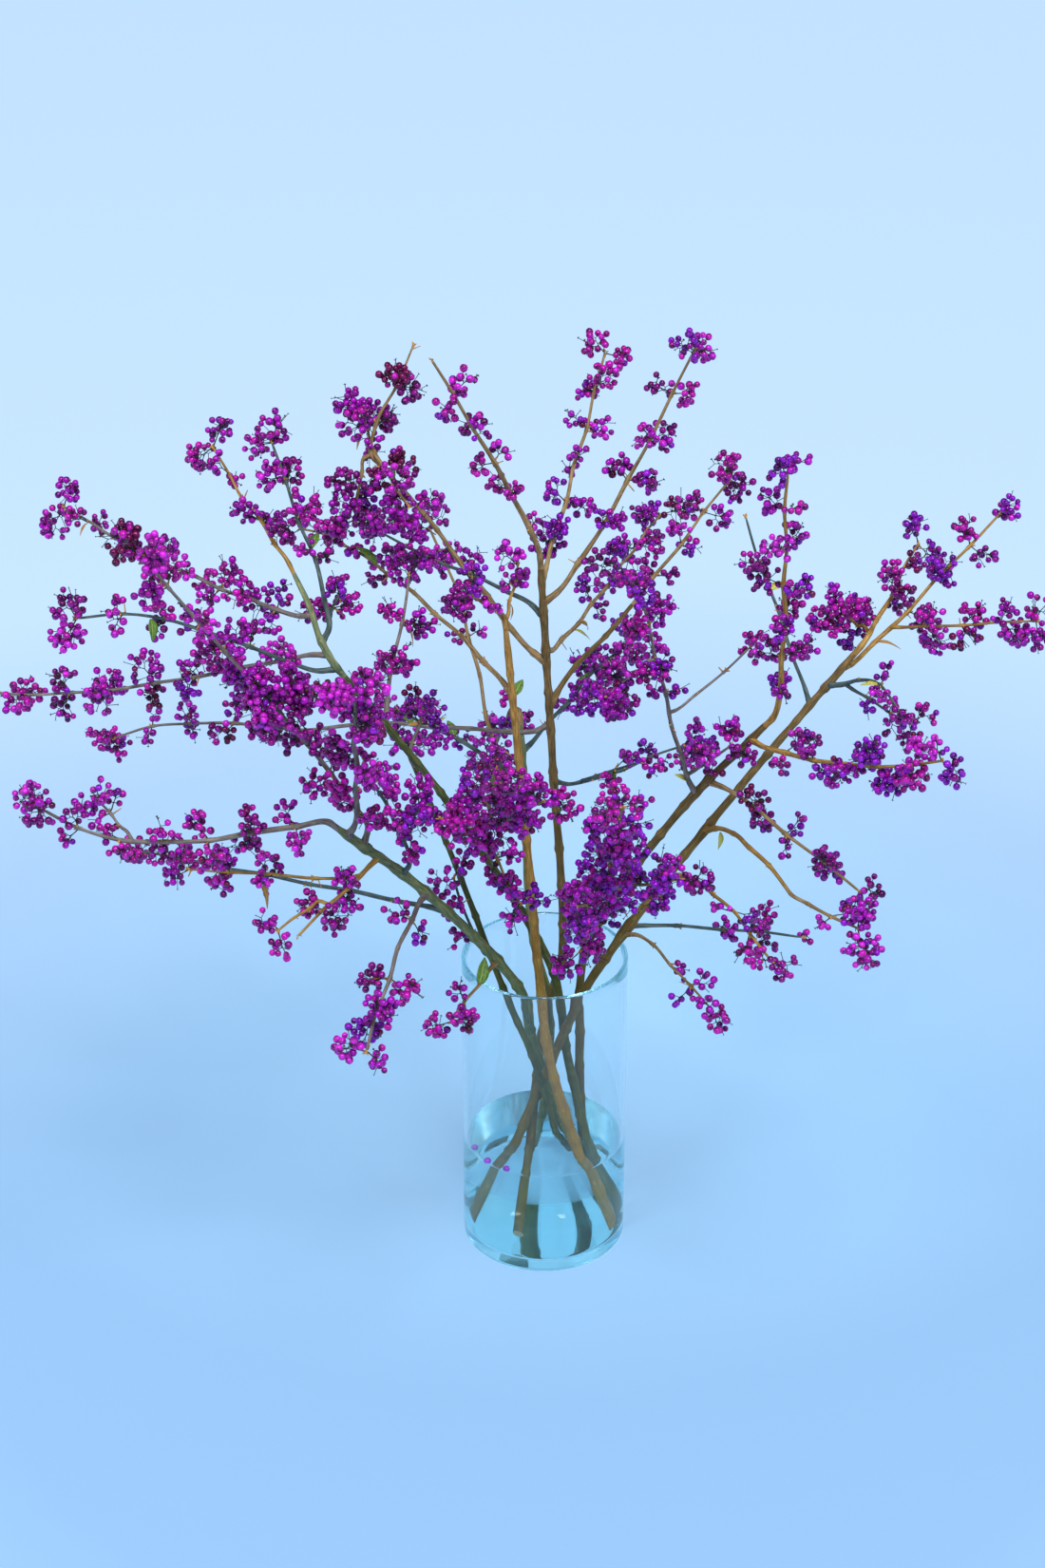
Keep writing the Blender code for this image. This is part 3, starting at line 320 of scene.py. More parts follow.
# Berries, their stalks and calyces
BERRY_SEED = 500
BERRY_SIDES = 10
BERRY_RINGS = 5
BERRY_LEAST = 0.00175
BERRY_MOST = 0.0024
TIP_DIMPLE = 0.08
DIMPLE_WIDTH = 0.45
INNER_SHARE = 0.6
TIGHT_LEAST = 0.85
TIGHT_MOST = 1.12
SETTLE_ROUNDS = 40
PUSH_SHARE = 0.8
BERRY_TOUCH = 0.985
PAIR_REACH = 0.0095
ROD_REACH = 0.014
LIMB_SPACE = 0.0002
RIM_SPACE = 0.0004
STRAY_MOST = 1.08
STRAY_EXTRA = 0.0006
PEDUNCLE_SHARE = 0.3
FORK_SHARE = 0.45
STALK_MOST = 0.0010
STALK_LEAST = 0.00048
STALK_TAPER = 0.86
STALK_LEAN = 0.4
STALK_DEPTH = 0.92
CALYX_DEPTH = 0.97
CALYX_POINTS = 8
BARE_SHARE = 0.28
BARE_REACH = (0.75, 1.3)
BARE_STAR = 0.0016
CALYX_LOBE = (0.62, 0.17)
CALYX_NOTCH = (0.32, 0.03)

# Berry tints: display colour, shares on the left and on the right sprays, and finish
TINTS = {
    "magenta": ((192, 8, 172), 30, 16, "magenta_berries"),
    "purple": ((172, 6, 186), 28, 28, "violet_berries"),
    "violet": ((144, 8, 198), 8, 22, "violet_berries"),
    "orchid": ((212, 30, 212), 16, 14, "violet_berries"),
    "plum": ((138, 6, 134), 15, 17, "magenta_berries"),
    "maroon": ((118, 10, 82), 3, 3, "magenta_berries"),
}
TINT_DIVIDE = 0.02
OWN_TINT_SHARE = 0.3
DEEP_SHARE = 0.36
BRIGHT_SHARE = 0.12

# Berry skin: its gleam, blush, cloudy bloom and pores
GLEAM_COLOUR = (1.0, 0.8, 1.0, 1.0)
BLUSH_SCALE = 260.0
CLOUD_SCALE = 900.0
CLOUD_EDGE = (0.5, 0.75)
CLOUD_SHARE = 0.6
PORE_SCALE = 3200.0
PORE_DEPTH = 0.00004
BERRY_ROUGHNESS = (0.15, 0.27)

# Berries afloat on the water, as (bearing, reach)
FALLEN = ((200, 0.0445), (221, 0.0450), (239, 0.0440))
FLOAT_RISE = 0.0006
FLOAT_DEEP_SHARE = 0.6

# Leaf kinds: dark and light tone of the blade, its midrib, its half width and its droop
LEAF_KINDS = {
    "green": ((52, 92, 40), (112, 148, 56), (160, 178, 100), 0.25, 0.25),
    "lime": ((138, 146, 52), (206, 200, 92), (222, 214, 140), 0.22, 0.30),
    "dry": ((128, 84, 36), (206, 160, 82), (216, 180, 112), 0.13, 0.55),
}

# Leaves: limb, share along it, length, bearing it points to, its rise and its kind
LEAVES = (
    ("spray_upper_left", 0.45, 0.014, 80, 0.5, "green"),
    ("stem_front", 0.9, 0.012, 60, 0.8, "green"),
    ("spray_far_back_left", 0.61, 0.016, 160, 1.2, "green"),
    ("top_left_low", 0.57, 0.010, 100, 1.0, "green"),
    ("mid_right_side", 0.67, 0.014, 250, -1.5, "green"),
    ("spray_right_inner", 0.04, 0.009, 200, 1.0, "lime"),
    ("bough_low_right", 0.10, 0.010, 280, -1.5, "lime"),
    ("spray_right_low", 0.67, 0.010, 175, 0.2, "lime"),
    ("spray_left_upper", 0.73, 0.012, 290, -1.2, "green"),
    ("hanging_side", 0.60, 0.018, 320, -0.8, "dry"),
    ("spray_rim_left", 0.40, 0.016, 60, 1.2, "green"),
    ("spray_far_back_right", 0.20, 0.011, 0, -0.3, "lime"),
    ("spray_back_right", 1.0, 0.010, 90, 1.2, "green"),
    ("bough_level_left", 0.58, 0.012, 120, 0.2, "green"),
    ("bough_level_left", 0.48, 0.010, 60, 0.4, "lime"),
    ("spray_back_mid", 0.50, 0.015, 70, 0.6, "green"),
    ("spray_back_left", 0.35, 0.012, 120, 0.9, "green"),
    ("spray_right_behind", 0.60, 0.013, 40, 0.3, "lime"),
)

# Dry bracts left at a few leaf scars
BRACT_SEED = 700
BRACT_COUNT = 16
BRACT_LENGTHS = (0.009, 0.015)
BRACT_BEND = 0.4

# Blades: rows and columns of the mesh, outline, fold and waves, and the midrib and mottle of the surface
LEAF_SEED = 600
LEAF_ROWS = 8
LEAF_COLUMNS = 5
LEAF_FOLD = 0.35
LEAF_THICKNESS = 0.012
LEAF_ROLL = 0.3
LEAF_WAVE = 0.06
LEAF_WAVES = (9, 2)
LEAF_FOOT = 0.04
LEAF_SPAN = 0.94
LEAF_BELLY = 0.8
LEAF_BLUNTNESS = 0.9
MIDRIB_EDGE = (0.10, 0.03)
MOTTLE_SCALE = 7.0

# Meshes of the vase and the water, and how they tint, bend and ripple what is seen through them
TURNED_SIDES = 128
FILLET_STEPS = 8
RIM_STEPS = 10
WALL_RINGS = 8
WALL_LOW = 0.03
WALL_INSET = 0.01
MENISCUS_STEPS = 8
BASE_DISH = 0.0008
PUNT_EDGE = 0.006
PUNT_RISE = 0.0006
WATER_LAP = 0.0002
MENISCUS = 0.0012
MENISCUS_WIDTH = 0.004
MENISCUS_CURVE = 2.5
GLASS_COLOUR = (0.95, 0.995, 1.0, 1.0)
GLASS_REFRACTION = 1.46
GLASS_WAVES = (14.0, 0.05)
WATER_COLOUR = (0.64, 0.92, 0.97, 1.0)
WATER_REFRACTION = 1.33
WATER_WAVES = (60.0, 0.1)
SHADE_COLOUR = (0.98, 1.0, 1.0, 1.0)
WAVE_DEPTH = 0.0004

# Studio: floor, surround, lamps and camera
FLOOR_RADIUS = 8.0
FLOOR_SIDES = 96
FLOOR_LEVEL = -0.0002
FLOOR_GRAIN = 180.0
FLOOR_RELIEF = 0.0004
# Painted light on the floor: round the vase it is painted lighter to cancel the shade the branches cast; its
# middle, its tone and where it fades out
PAINTED_LIGHT_MIDDLE = (0.0, 0.26, 0.0)
FLOOR_MIDDLE = (0.0, -0.05, 0.0)
FLOOR_PAINTED_LIGHT = (0.355, 0.625, 0.920, 1.0)
FLOOR_NEAR = (0.246, 0.428, 0.670, 1.0)
FLOOR_FAR = (0.462, 0.624, 0.820, 1.0)
PAINTED_LIGHT_FADE = (0.05, 0.43)
FLOOR_FADE = (0.34, 1.03)
WORLD_COLOUR = (0.62, 0.66, 0.70, 1.0)
GLOW_COLOUR = (0.45, 0.70, 0.97, 1.0)
GLOSS_COLOUR = (0.03, 0.02, 0.06, 1.0)
SUN_AIM = (-0.15, 0.5, -1.0)
SUN_POWER = 1.95
SUN_WIDTH = 22
WINDOWS = {
    "window_left": ((-1.15, -1.05, 1.75), (0.0, 0.0, 0.3), (0.35, 0.6), 9.0),
    "window_right": ((0.75, -1.45, 1.85), (0.0, 0.0, 0.3), (0.35, 0.6), 9.0),
}
LIGHT_BOUNCES = 200
CLEAR_BOUNCES = 100
CAMERA_PLACE = (-0.0133, -1.705, 1.2456)
CAMERA_DIP = 28.60
CAMERA_LENS = 76.5
CAMERA_SENSOR = 36.0

UP = np.array([0.0, 0.0, 1.0])
SIDEWAYS = np.array([1.0, 0.0, 0.0])
SKEWED = np.array([0.3, 1.0, 0.1])

# Every limb that grows on another, and one side of a leaf scar, whether or not it holds berries
GROWN = {**BOUGHS, **SHOOTS}
Scar = namedtuple("Scar", "limb station aim along")


def unit(vector):
    return vector / max(np.linalg.norm(vector), 1e-9)


def units(vectors):
    return vectors / np.maximum(np.linalg.norm(vectors, axis=-1, keepdims=True), 1e-9)


def lengths(vectors):
    return np.maximum(np.linalg.norm(vectors, axis=-1), 1e-6)


def outward(along, across, turn):
    """The direction at some turn round a limb."""
    return math.cos(turn) * across + math.sin(turn) * np.cross(across, along)


def place(bearing, reach, height):
    """A point from its bearing in degrees and its reach from the vase's axis."""
    angle = math.radians(bearing)
    return np.array([reach * math.cos(angle), reach * math.sin(angle), height])


def resample(points, spacing):
    """Even stations along a smooth line, one for every leaf scar."""
    points = np.asarray(points)
    steps = np.linalg.norm(np.diff(points, axis=0), axis=1)
    travelled = np.concatenate([[0.0], np.cumsum(steps)])
    count = max(3, round(travelled[-1] / spacing))
    wanted = np.linspace(0.0, travelled[-1], count + 1)
    return np.column_stack([np.interp(wanted, travelled, points[:, axis]) for axis in range(3)])


def smooth_through(points, per_span=12):
    """Catmull-Rom curve through a few stations."""
    ends = [2 * points[0] - points[1], *points, 2 * points[-1] - points[-2]]
    curve = []
    for before, start, end, after in zip(ends, ends[1:], ends[2:], ends[3:]):
        for step in range(per_span):
            t = step / per_span
            curve.append(0.5 * (2 * start + (end - before) * t
                                + (2 * before - 5 * start + 4 * end - after) * t * t
                                + (3 * start - before - 3 * end + after) * t ** 3))
    curve.append(points[-1])
    return np.array(curve)


class Limb:
    """A tapering limb: its stations from root to tip and its radius at each."""

    def __init__(self, node, path, root_thickness, tip_thickness):
        self.node = node
        self.path = path
        steps = np.linalg.norm(np.diff(path, axis=0), axis=1)
        self.shares = np.concatenate([[0.0], np.cumsum(steps)]) / steps.sum()
        self.radii = 0.5 * (root_thickness + (tip_thickness - root_thickness) * self.shares)

    def at(self, share):
        """The point, direction and radius at a share of its length."""
        point = np.array([np.interp(share, self.shares, self.path[:, axis]) for axis in range(3)])
        span = min(np.searchsorted(self.shares, share, side="left"), len(self.path) - 1)
        span = max(span, 1)
        along = unit(self.path[span] - self.path[span - 1])
        return point, along, float(np.interp(share, self.shares, self.radii))

    def capsules(self):
        """Its stretches as starts, ends and radii."""
        return self.path[:-1], self.path[1:], np.maximum(self.radii[:-1], self.radii[1:])


def segment_distances(start, end, starts, ends):
    """Shortest distance from one segment to each of many."""
    first = end - start
    second = ends - starts
    between = start - starts
    a = max(first @ first, 1e-12)
    e = np.maximum((second * second).sum(1), 1e-12)
    f = (second * between).sum(1)
    c = between @ first
    b = second @ first
    spread = np.maximum(a * e - b * b, 1e-14)
    s = np.clip((b * f - c * e) / spread, 0.0, 1.0)
    t = np.clip((b * s + f) / e, 0.0, 1.0)
    s = np.clip((b * t - c) / a, 0.0, 1.0)
    gap = (start + s[:, None] * first) - (starts + t[:, None] * second)
    return np.linalg.norm(gap, axis=1)


class Space:
    """The space that limbs and clusters already take, as round-ended rods with an owner."""

    def __init__(self):
        self.starts = np.zeros((0, 3))
        self.ends = np.zeros((0, 3))
        self.radii = np.zeros(0)
        self.owners = np.zeros(0, dtype=object)

    def add(self, starts, ends, radii, owner):
        self.starts = np.vstack([self.starts, starts])
        self.ends = np.vstack([self.ends, ends])
        self.radii = np.concatenate([self.radii, radii])
        self.owners = np.concatenate([self.owners, np.full(len(radii), owner, dtype=object)])

    def room(self, start, end, radius, owner):
        """Free room round a rod, counting only what others own."""
        others = self.owners != owner
        if not others.any():
            return 1.0
        distances = segment_distances(start, end, self.starts[others], self.ends[others])
        return float((distances - self.radii[others]).min() - radius)


def stem_path(foot, waist, mouth, tip, bow, thickness):
    """From the vase's floor, past the place where the stems cross and the mouth, to the tip."""
    low = place(*foot, GLASS_BASE)
    middle = place(*waist, CROSSING_HEIGHT)
    high = place(*mouth, VASE_HEIGHT)
    end = place(*tip)
    lean = unit(middle - low)
    low[2] = GLASS_BASE + 2 * GAP + 0.5 * thickness * math.sqrt(1 - lean[2] ** 2)
    free = 0.5 * (high + end) + bow * UP
    return resample(smooth_through([low, middle, high, free, end]), SCAR_SPACING)


def shoot_path(parent, share, tip, bow, thickness, swing, fused):
    """An arc that leaves its parent at a wide angle and bends to its tip, kinked at each leaf scar."""
    base, along, parent_radius = parent.at(share)
    end = place(*tip)
    chord = end - base
    if share >= 1.0:
        leave = along
        start = base + (0.0 if fused else GAP) * along
    else:
        if chord @ along < 0:
            along = -along
        side = unit(chord - (chord @ along) * along)
        angle = math.radians(LEAVE_ANGLE)
        leave = math.sin(angle) * side + math.cos(angle) * along
        reach = (parent_radius + GAP + 0.5 * thickness * math.cos(angle)) / math.sin(angle)
        start = base if fused else base + reach * leave
    chord = end - start
    length = np.linalg.norm(chord)
    sideways = unit(np.cross(chord, UP))
    handle = start + min(HANDLE_SHARE * length, HANDLE_MOST) * leave
    pull = start + PULL_SHARE * chord + PULL_WEIGHT * (bow * UP + swing * sideways)
    t = np.linspace(0.0, 1.0, ARC_SAMPLES)[:, None]
    arc = (1 - t) ** 3 * start + 3 * (1 - t) ** 2 * t * handle + 3 * (1 - t) * t * t * pull + t ** 3 * end
    path = resample(arc, SCAR_SPACING)
    kinks = np.arange(1, len(path) - 1)
    path[kinks] += (KINK * (-1.0) ** kinks)[:, None] * sideways
    return np.vstack([path[:1], start + LEAVE_LENGTH * leave, path[1:]])


def free_room(limb, space, fused):
    """Least room round a limb, without its root zone beside its parent."""
    starts, ends, radii = limb.capsules()
    least = 1.0
    for start, end, radius in zip(starts, ends, radii):
        if np.linalg.norm(end - limb.path[0]) < ROOT_ZONE:
            continue
        if fused and np.linalg.norm(start - limb.path[0]) < ROOT_ZONE:
            start = 0.5 * (start + end)
        least = min(least, space.room(start, end, radius, limb.node if fused else None))
    return least


def grow_limb(node, parent, share, tip, bow, root, end, space, fused):
    """Swings the limb aside by steps till it clears those already grown."""
    best = None
    best_room = -1.0
    for step in range(SWING_TRIES):
        swing = SWING_STEP * ((step + 1) // 2) * (-1) ** step
        path = shoot_path(parent, share, tip, bow, root, swing, fused)
        limb = Limb(node, path, root, end)
        room = free_room(limb, space, fused)
        if room > best_room:
            best, best_room = limb, room
        if room >= LIMB_CLEARANCE:
            break
    space.add(*best.capsules(), node)
    return best


def grow_limbs():
    """Every stem, bough and shoot, and the space that they take."""
    space = Space()
    limbs = {}
    for name, (foot, waist, mouth, tip, bow, root, end) in STEMS.items():
        limb = Limb(name, stem_path(foot, waist, mouth, tip, bow, root), root, end)
        limbs[name] = limb
        space.add(*limb.capsules(), name)
    for name, (parent, share, tip, bow, root, end, *_) in GROWN.items():
        fused = parent in SHOOTS
        node = limbs[parent].node if fused else name
        limbs[name] = grow_limb(node, limbs[parent], share, tip, bow, root, end, space, fused)
    return limbs, space


def outside_vase(centre, radius):
    """Whether a cluster clears the rim and the wall of the vase."""
    above = centre[2] - radius > VASE_HEIGHT + CLUSTER_CLEARANCE
    beside = math.hypot(centre[0], centre[1]) - radius > 0.5 * VASE_DIAMETER + CLUSTER_CLEARANCE
    return above or beside


class Cluster:
    """A ball of berries on a stalk from a leaf scar."""

    def __init__(self, limb, station, aim, berries):
        self.limb = limb
        self.aim = aim
        self.berries = berries
        self.size = CLUSTER_SIZE * max(berries, 1) ** (1 / 3)
        self.foot = limb.path[station] + PEDUNCLE_SUNK * limb.radii[station] * aim
        reach = limb.radii[station] + PEDUNCLE_LENGTH + CLUSTER_STANDOFF * self.size
        self.centre = self.foot + reach * aim
        self.clear_foot = self.foot + 2 * limb.radii[station] * aim


def grow_cluster(limb, station, aim, berries, space):
    """A cluster that shrinks till it is clear of other masses, or None where there is no room."""
    for _ in range(CLUSTER_TRIES):
        cluster = Cluster(limb, station, aim, berries)
        room = space.room(cluster.centre, cluster.centre, cluster.size, limb.node)
        if room > CLUSTER_CLEARANCE and outside_vase(cluster.centre, cluster.size):
            break
        berries = round(CLUSTER_SHRINK * berries)
    else:
        return None
    stalk_room = space.room(cluster.clear_foot, cluster.centre, PEDUNCLE_RADIUS, limb.node)
    if cluster.berries < BERRIES_LEAST or stalk_room < GAP:
        return None
    space.add(cluster.centre[None], cluster.centre[None], np.array([cluster.size]), limb.node)
    return cluster


def grow_bunch(limb, foot, clusters, space):
    """Takes the space of the long ball that stands for a scar's clusters in the solids, where it fits."""
    first, second = clusters[0], clusters[-1]
    if len(clusters) == 2:
        axis = unit(first.centre - second.centre)
        low = second.centre - second.size * axis
    else:
        axis = first.aim
        low = foot - limb.radii.max() * axis
    high = first.centre + first.size * axis
    middle = 0.5 * (low + high)
    drift = middle - foot
    centre = middle - 0.5 * (drift - (drift @ axis) * axis)
    length = 0.5 * np.linalg.norm(high - low)
    width = min(0.5 * (first.size + second.size), length)
    for _ in range(CLUSTER_TRIES):
        half = (length - width) * axis
        start, end = centre - half, centre + half
        clear = all(outside_vase(point, width) for point in (start, centre, end))
        if clear and space.room(start, end, width, limb.node) > CLUSTER_CLEARANCE:
            space.add(start[None], end[None], np.array([width]), limb.node)
            return
        length *= CLUSTER_SHRINK
        width *= CLUSTER_SHRINK


def grow_clusters(limbs, space):
    """A pair of berry clusters at every leaf scar that isn't bare, turned a quarter each time."""
    clusters = []
    scars = []
    for order, (name, shoot) in enumerate(SHOOTS.items()):
        fullness = shoot[6]
        steps = np.linspace(0.0, 1.0, len(fullness))
        limb = limbs[name]
        draw = np.random.default_rng(order + 1)
        turn = draw.uniform(0.0, math.pi)
        for station in range(2, len(limb.path)):
            along = unit(limb.path[station] - limb.path[station - 1])
            across = unit(np.cross(along, UP) if abs(along[2]) < UPRIGHT else SIDEWAYS)
            turn += QUARTER_TURN + draw.uniform(-TURN_SPREAD, TURN_SPREAD)
            pair = []
            for side in (0.0, math.pi):
                away = outward(along, across, turn + side)
                scars.append(Scar(limb, station, away, along))
                lean = draw.uniform(LEAN_LEAST, LEAN_MOST)
                aim = math.cos(lean) * away + math.sin(lean) * along
                spread = draw.uniform(1 - BERRIES_SPREAD, 1 + BERRIES_SPREAD)
                full = np.interp(limb.shares[station], steps, fullness)
                cluster = grow_cluster(limb, station, aim, round(BERRIES_MEAN * full * spread), space)
                if cluster is not None:
                    pair.append(cluster)
            clusters += pair
            if sum(cluster.berries for cluster in pair) >= BUNCH_LEAST:
                grow_bunch(limb, limb.path[station], pair, space)
    return clusters, scars


def add_object(name, data, spot=(0.0, 0.0, 0.0), turn=(0.0, 0.0, 0.0)):
    thing = bpy.data.objects.new(name, data)
    thing.location = spot
    thing.rotation_euler = turn
    bpy.context.scene.collection.objects.link(thing)
    return thing


class Shape:
    """Points, faces and grain coordinates gathered from many small forms into one mesh."""

    def __init__(self):
        self.points = []
        self.corners = []
        self.sizes = []
        self.slots = []
        self.grain = []
        self.count = 0

    def add(self, points, face_groups, grain=None):
        """face_groups holds (faces with equal corner counts, material index)."""
        points = np.asarray(points, dtype=float).reshape(-1, 3)
        for faces, slot in face_groups:
            faces = np.asarray(faces, dtype=np.int64)
            self.corners.append((faces + self.count).ravel())
            self.sizes.append(np.full(len(faces), faces.shape[1]))
            self.slots.append(np.full(len(faces), slot))
        self.points.append(points)
        self.grain.append(points if grain is None else np.asarray(grain).reshape(-1, 3))
        self.count += len(points)

    def piece(self, name, materials, slot, replaced=(), sharp=False):
        """The joined mesh as one object that rides on the body; its slot is not used."""
        points = np.concatenate(self.points)
        corners = np.concatenate(self.corners)
        sizes = np.concatenate(self.sizes)
        mesh = bpy.data.meshes.new(name)
        mesh.vertices.add(len(points))
        mesh.vertices.foreach_set("co", points.astype(np.float32).ravel())
        mesh.loops.add(len(corners))
        mesh.loops.foreach_set("vertex_index", corners.astype(np.int32))
        mesh.polygons.add(len(sizes))
        starts = np.concatenate([[0], np.cumsum(sizes)[:-1]])
        mesh.polygons.foreach_set("loop_start", starts.astype(np.int32))
        for material in materials:
            mesh.materials.append(material)
        mesh.polygons.foreach_set("material_index", np.concatenate(self.slots).astype(np.int32))
        grain = mesh.attributes.new("grain", "FLOAT_VECTOR", "POINT")
        grain.data.foreach_set("vector", np.concatenate(self.grain).astype(np.float32).ravel())
        mesh.update(calc_edges=True)
        mesh.shade_smooth()
        if sharp:
            mesh.set_sharp_from_angle(angle=math.radians(SHARP_ANGLE))
        piece = add_object(name, mesh)
        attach(piece, "root")
        if replaced:
            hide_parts(*replaced)


def smooth_line(stations, step):
    """Even points along a smooth curve through the stations."""
    gaps = np.linalg.norm(np.diff(stations, axis=0), axis=1)
    slopes = np.diff(stations, axis=0) / gaps[:, None]
    weights = gaps[:-1] + gaps[1:]
    inner = (slopes[:-1] * gaps[1:, None] + slopes[1:] * gaps[:-1, None]) / weights[:, None]
    tangents = np.vstack([slopes[:1], inner, slopes[-1:]])
    t = np.linspace(0.0, 1.0, SPAN_SAMPLES, endpoint=False)[:, None]
    spans = []
    for index, gap in enumerate(gaps):
        start, end = stations[index], stations[index + 1]
        leave, arrive = gap * tangents[index], gap * tangents[index + 1]
        spans.append((2 * t ** 3 - 3 * t ** 2 + 1) * start + (t ** 3 - 2 * t ** 2 + t) * leave
                     + (3 * t ** 2 - 2 * t ** 3) * end + (t ** 3 - t ** 2) * arrive)
    return resample(np.vstack([*spans, stations[-1:]]), step)


def frames_along(line):
    """Directions along a line and two across it that don't twist."""
    along = units(np.gradient(line, axis=0))
    across = np.empty_like(line)
    side = np.cross(along[0], UP if abs(along[0][2]) < STEEP else SIDEWAYS)
    for index, direction in enumerate(along):
        side = unit(side - (side @ direction) * direction)
        across[index] = side
    return along, across, np.cross(along, across)


def ripples(reach, turn, draw):
    """Gentle unevenness of bark, as waves along and round a limb."""
    total = np.zeros((len(reach), len(turn)))
    for lobes, share in RIPPLE_WAVES:
        for wave in draw.uniform(*RIPPLE_LENGTHS, 2):
            phase = draw.uniform(0.0, 2 * math.pi)
            total += share * np.cos(2 * math.pi * reach[:, None] / wave + lobes * turn + phase)
    return total


def turns(sides):
    """Even angles round a ring."""
    return np.arange(sides) * 2 * math.pi / sides


def circles(across, upward, turn):
    """A circle of directions at each of many places."""
    return np.cos(turn)[None, :, None] * across[:, None] + np.sin(turn)[None, :, None] * upward[:, None]


def hump(offset, length):
    """A smooth hump of height one, as long as told."""
    return np.exp(-(offset / length) ** 2)


def fan(middle, first, sides, flip=False):
    """Triangles from one point to a ring of points."""
    side = np.arange(sides)
    rim = [first + side, first + (side + 1) % sides]
    return np.stack([np.full(sides, middle), *(rim[::-1] if flip else rim)], axis=-1)


def tube_faces(rings, sides):
    """Four-cornered faces between rings of points that follow each other."""
    ring = np.arange(rings - 1)[:, None] * sides
    side = np.arange(sides)[None, :]
    after = (side + 1) % sides
    quads = np.stack([ring + side, ring + after, ring + sides + after, ring + sides + side], axis=-1)
    return quads.reshape(-1, 4)


def root_of(name, limbs):
    """A point inside the parent, where the limb's bark starts, or None where its path starts there."""
    if name in STEMS:
        return None
    parent, share = GROWN[name][:2]
    base, along, _ = limbs[parent].at(share)
    if share >= 1:
        return base - ROOT_SUNK * along
    return None if np.allclose(base, limbs[name].path[0]) else base


def onward_from(name):
    """The limbs that carry on from this one's tip."""
    return [other for other, rule in GROWN.items() if rule[:2] == (name, 1)]


def has_bud(name):
    """Whether a limb ends in a bud, as all berry shoots do but the cut ones."""
    return name in SHOOTS and name not in BARE_TIPS and not onward_from(name)


def add_limb(shape, name, limbs, sides, step, scars, draw):
    """A limb's bark: nodes that swell, scars that stand out, a flared root and a cut or budded tip."""
    limb = limbs[name]
    root = root_of(name, limbs)
    foot_cut = name in STEMS
    bare_tip = not has_bud(name)
    onward = onward_from(name)
    follow = limbs[onward[0]].radii[0] / limb.radii[-1] if onward else 1.0
    path = limb.path if root is None else np.vstack([root, limb.path])
    line = smooth_line(path, step)
    along, across, upward = frames_along(line)
    steps = np.linalg.norm(np.diff(line, axis=0), axis=1)
    head = 0.0 if root is None else np.linalg.norm(limb.path[0] - root)
    reach = np.concatenate([[0.0], np.cumsum(steps)]) - head
    total = reach[-1]
    radii = np.interp(reach / total, limb.shares, limb.radii)
    swell = np.zeros_like(reach)
    for share in limb.shares[1:-1]:
        swell += NODE_SWELL * hump(reach - share * total, NODE_LENGTH)
    for share in [rule[1] for rule in GROWN.values() if rule[0] == name and rule[1] < 1]:
        swell += FORK_SWELL * hump(reach - share * total, FORK_LENGTH)
    if not foot_cut and GROWN[name][1] < 1:
        swell += ROOT_FLARE * np.exp(-np.maximum(reach, 0.0) / FLARE_LENGTH)
    turn = turns(sides)
    relief = 1 + np.minimum(swell, SWELL_MOST)[:, None] + ripples(reach, turn, draw)
    surface = radii[:, None] * relief
    for share, aim in scars:
        near = int(np.argmin(np.abs(reach - share * total)))
        facing = math.atan2(aim @ upward[near], aim @ across[near])
        away = (turn - facing + math.pi) % (2 * math.pi) - math.pi
        lift = hump(reach - share * total + SCAR_BELOW, SCAR_LENGTH)
        surface += SCAR_LIFT * lift[:, None] * hump(away, SCAR_WIDTH)
    if not bare_tip:
        narrow = np.clip((total - reach) / TIP_LENGTH, 0, 1) ** 0.5
        surface *= (TIP_LEAST + (1 - TIP_LEAST) * narrow)[:, None]
    surface *= (1 - (1 - follow) * np.clip(1 - (total - reach) / FOLLOW_LENGTH, 0, 1) ** 2)[:, None]
    ring = circles(across, upward, turn)
    points = line[:, None] + surface[:, :, None] * ring
    if foot_cut:
        high_side = unit(UP - (UP @ along[0]) * along[0])
        rise = surface[0].mean() * math.tan(math.radians(CUT_SLANT))
        shift = rise * (1 + ring[0] @ high_side)
        fade = np.clip(1 - reach / CUT_FADE, 0.0, 1.0)
        points += (fade[:, None] * shift)[:, :, None] * along[:, None]
    offset = draw.uniform(0.0, 1.0)
    middle = surface.mean()
    grain = np.empty_like(points)
    grain[:, :, 0] = middle * np.cos(turn) + offset
    grain[:, :, 1] = middle * np.sin(turn)
    grain[:, :, 2] = reach[:, None]
    every = np.vstack([points.reshape(-1, 3), points[0].mean(axis=0), points[-1].mean(axis=0)])
    grains = np.vstack([grain.reshape(-1, 3), (offset, 0.0, reach[0]), (offset, 0.0, reach[-1])])
    count = len(line) * sides
    foot = (fan(count, 0, sides, flip=True), int(foot_cut))
    top = (fan(count + 1, count - sides, sides), int(bare_tip))
    shape.add(every, [(tube_faces(len(line), sides), 0), foot, top], grains)


def add_rods(shape, starts, ends, start_radii, end_radii, sides=3):
    """Many thin tapering rods at once, closed at their ends."""
    along = units(ends - starts)
    helper = np.where(np.abs(along[:, 2:]) < STEEP, UP, SIDEWAYS)
    across = units(np.cross(along, helper))
    ring = circles(across, np.cross(along, across), turns(sides))
    low = starts[:, None] + start_radii[:, None, None] * ring
    high = ends[:, None] + end_radii[:, None, None] * ring
    points = np.concatenate([low, high], axis=1)
    base = 2 * sides * np.arange(len(starts))[:, None, None]
    quads = (base + tube_faces(2, sides)[None]).reshape(-1, 4)
    side = np.arange(sides)
    caps = (base + np.stack([side[::-1], side + sides])[None]).reshape(-1, sides)
    shape.add(points, [(quads, 0), (caps, 0)])


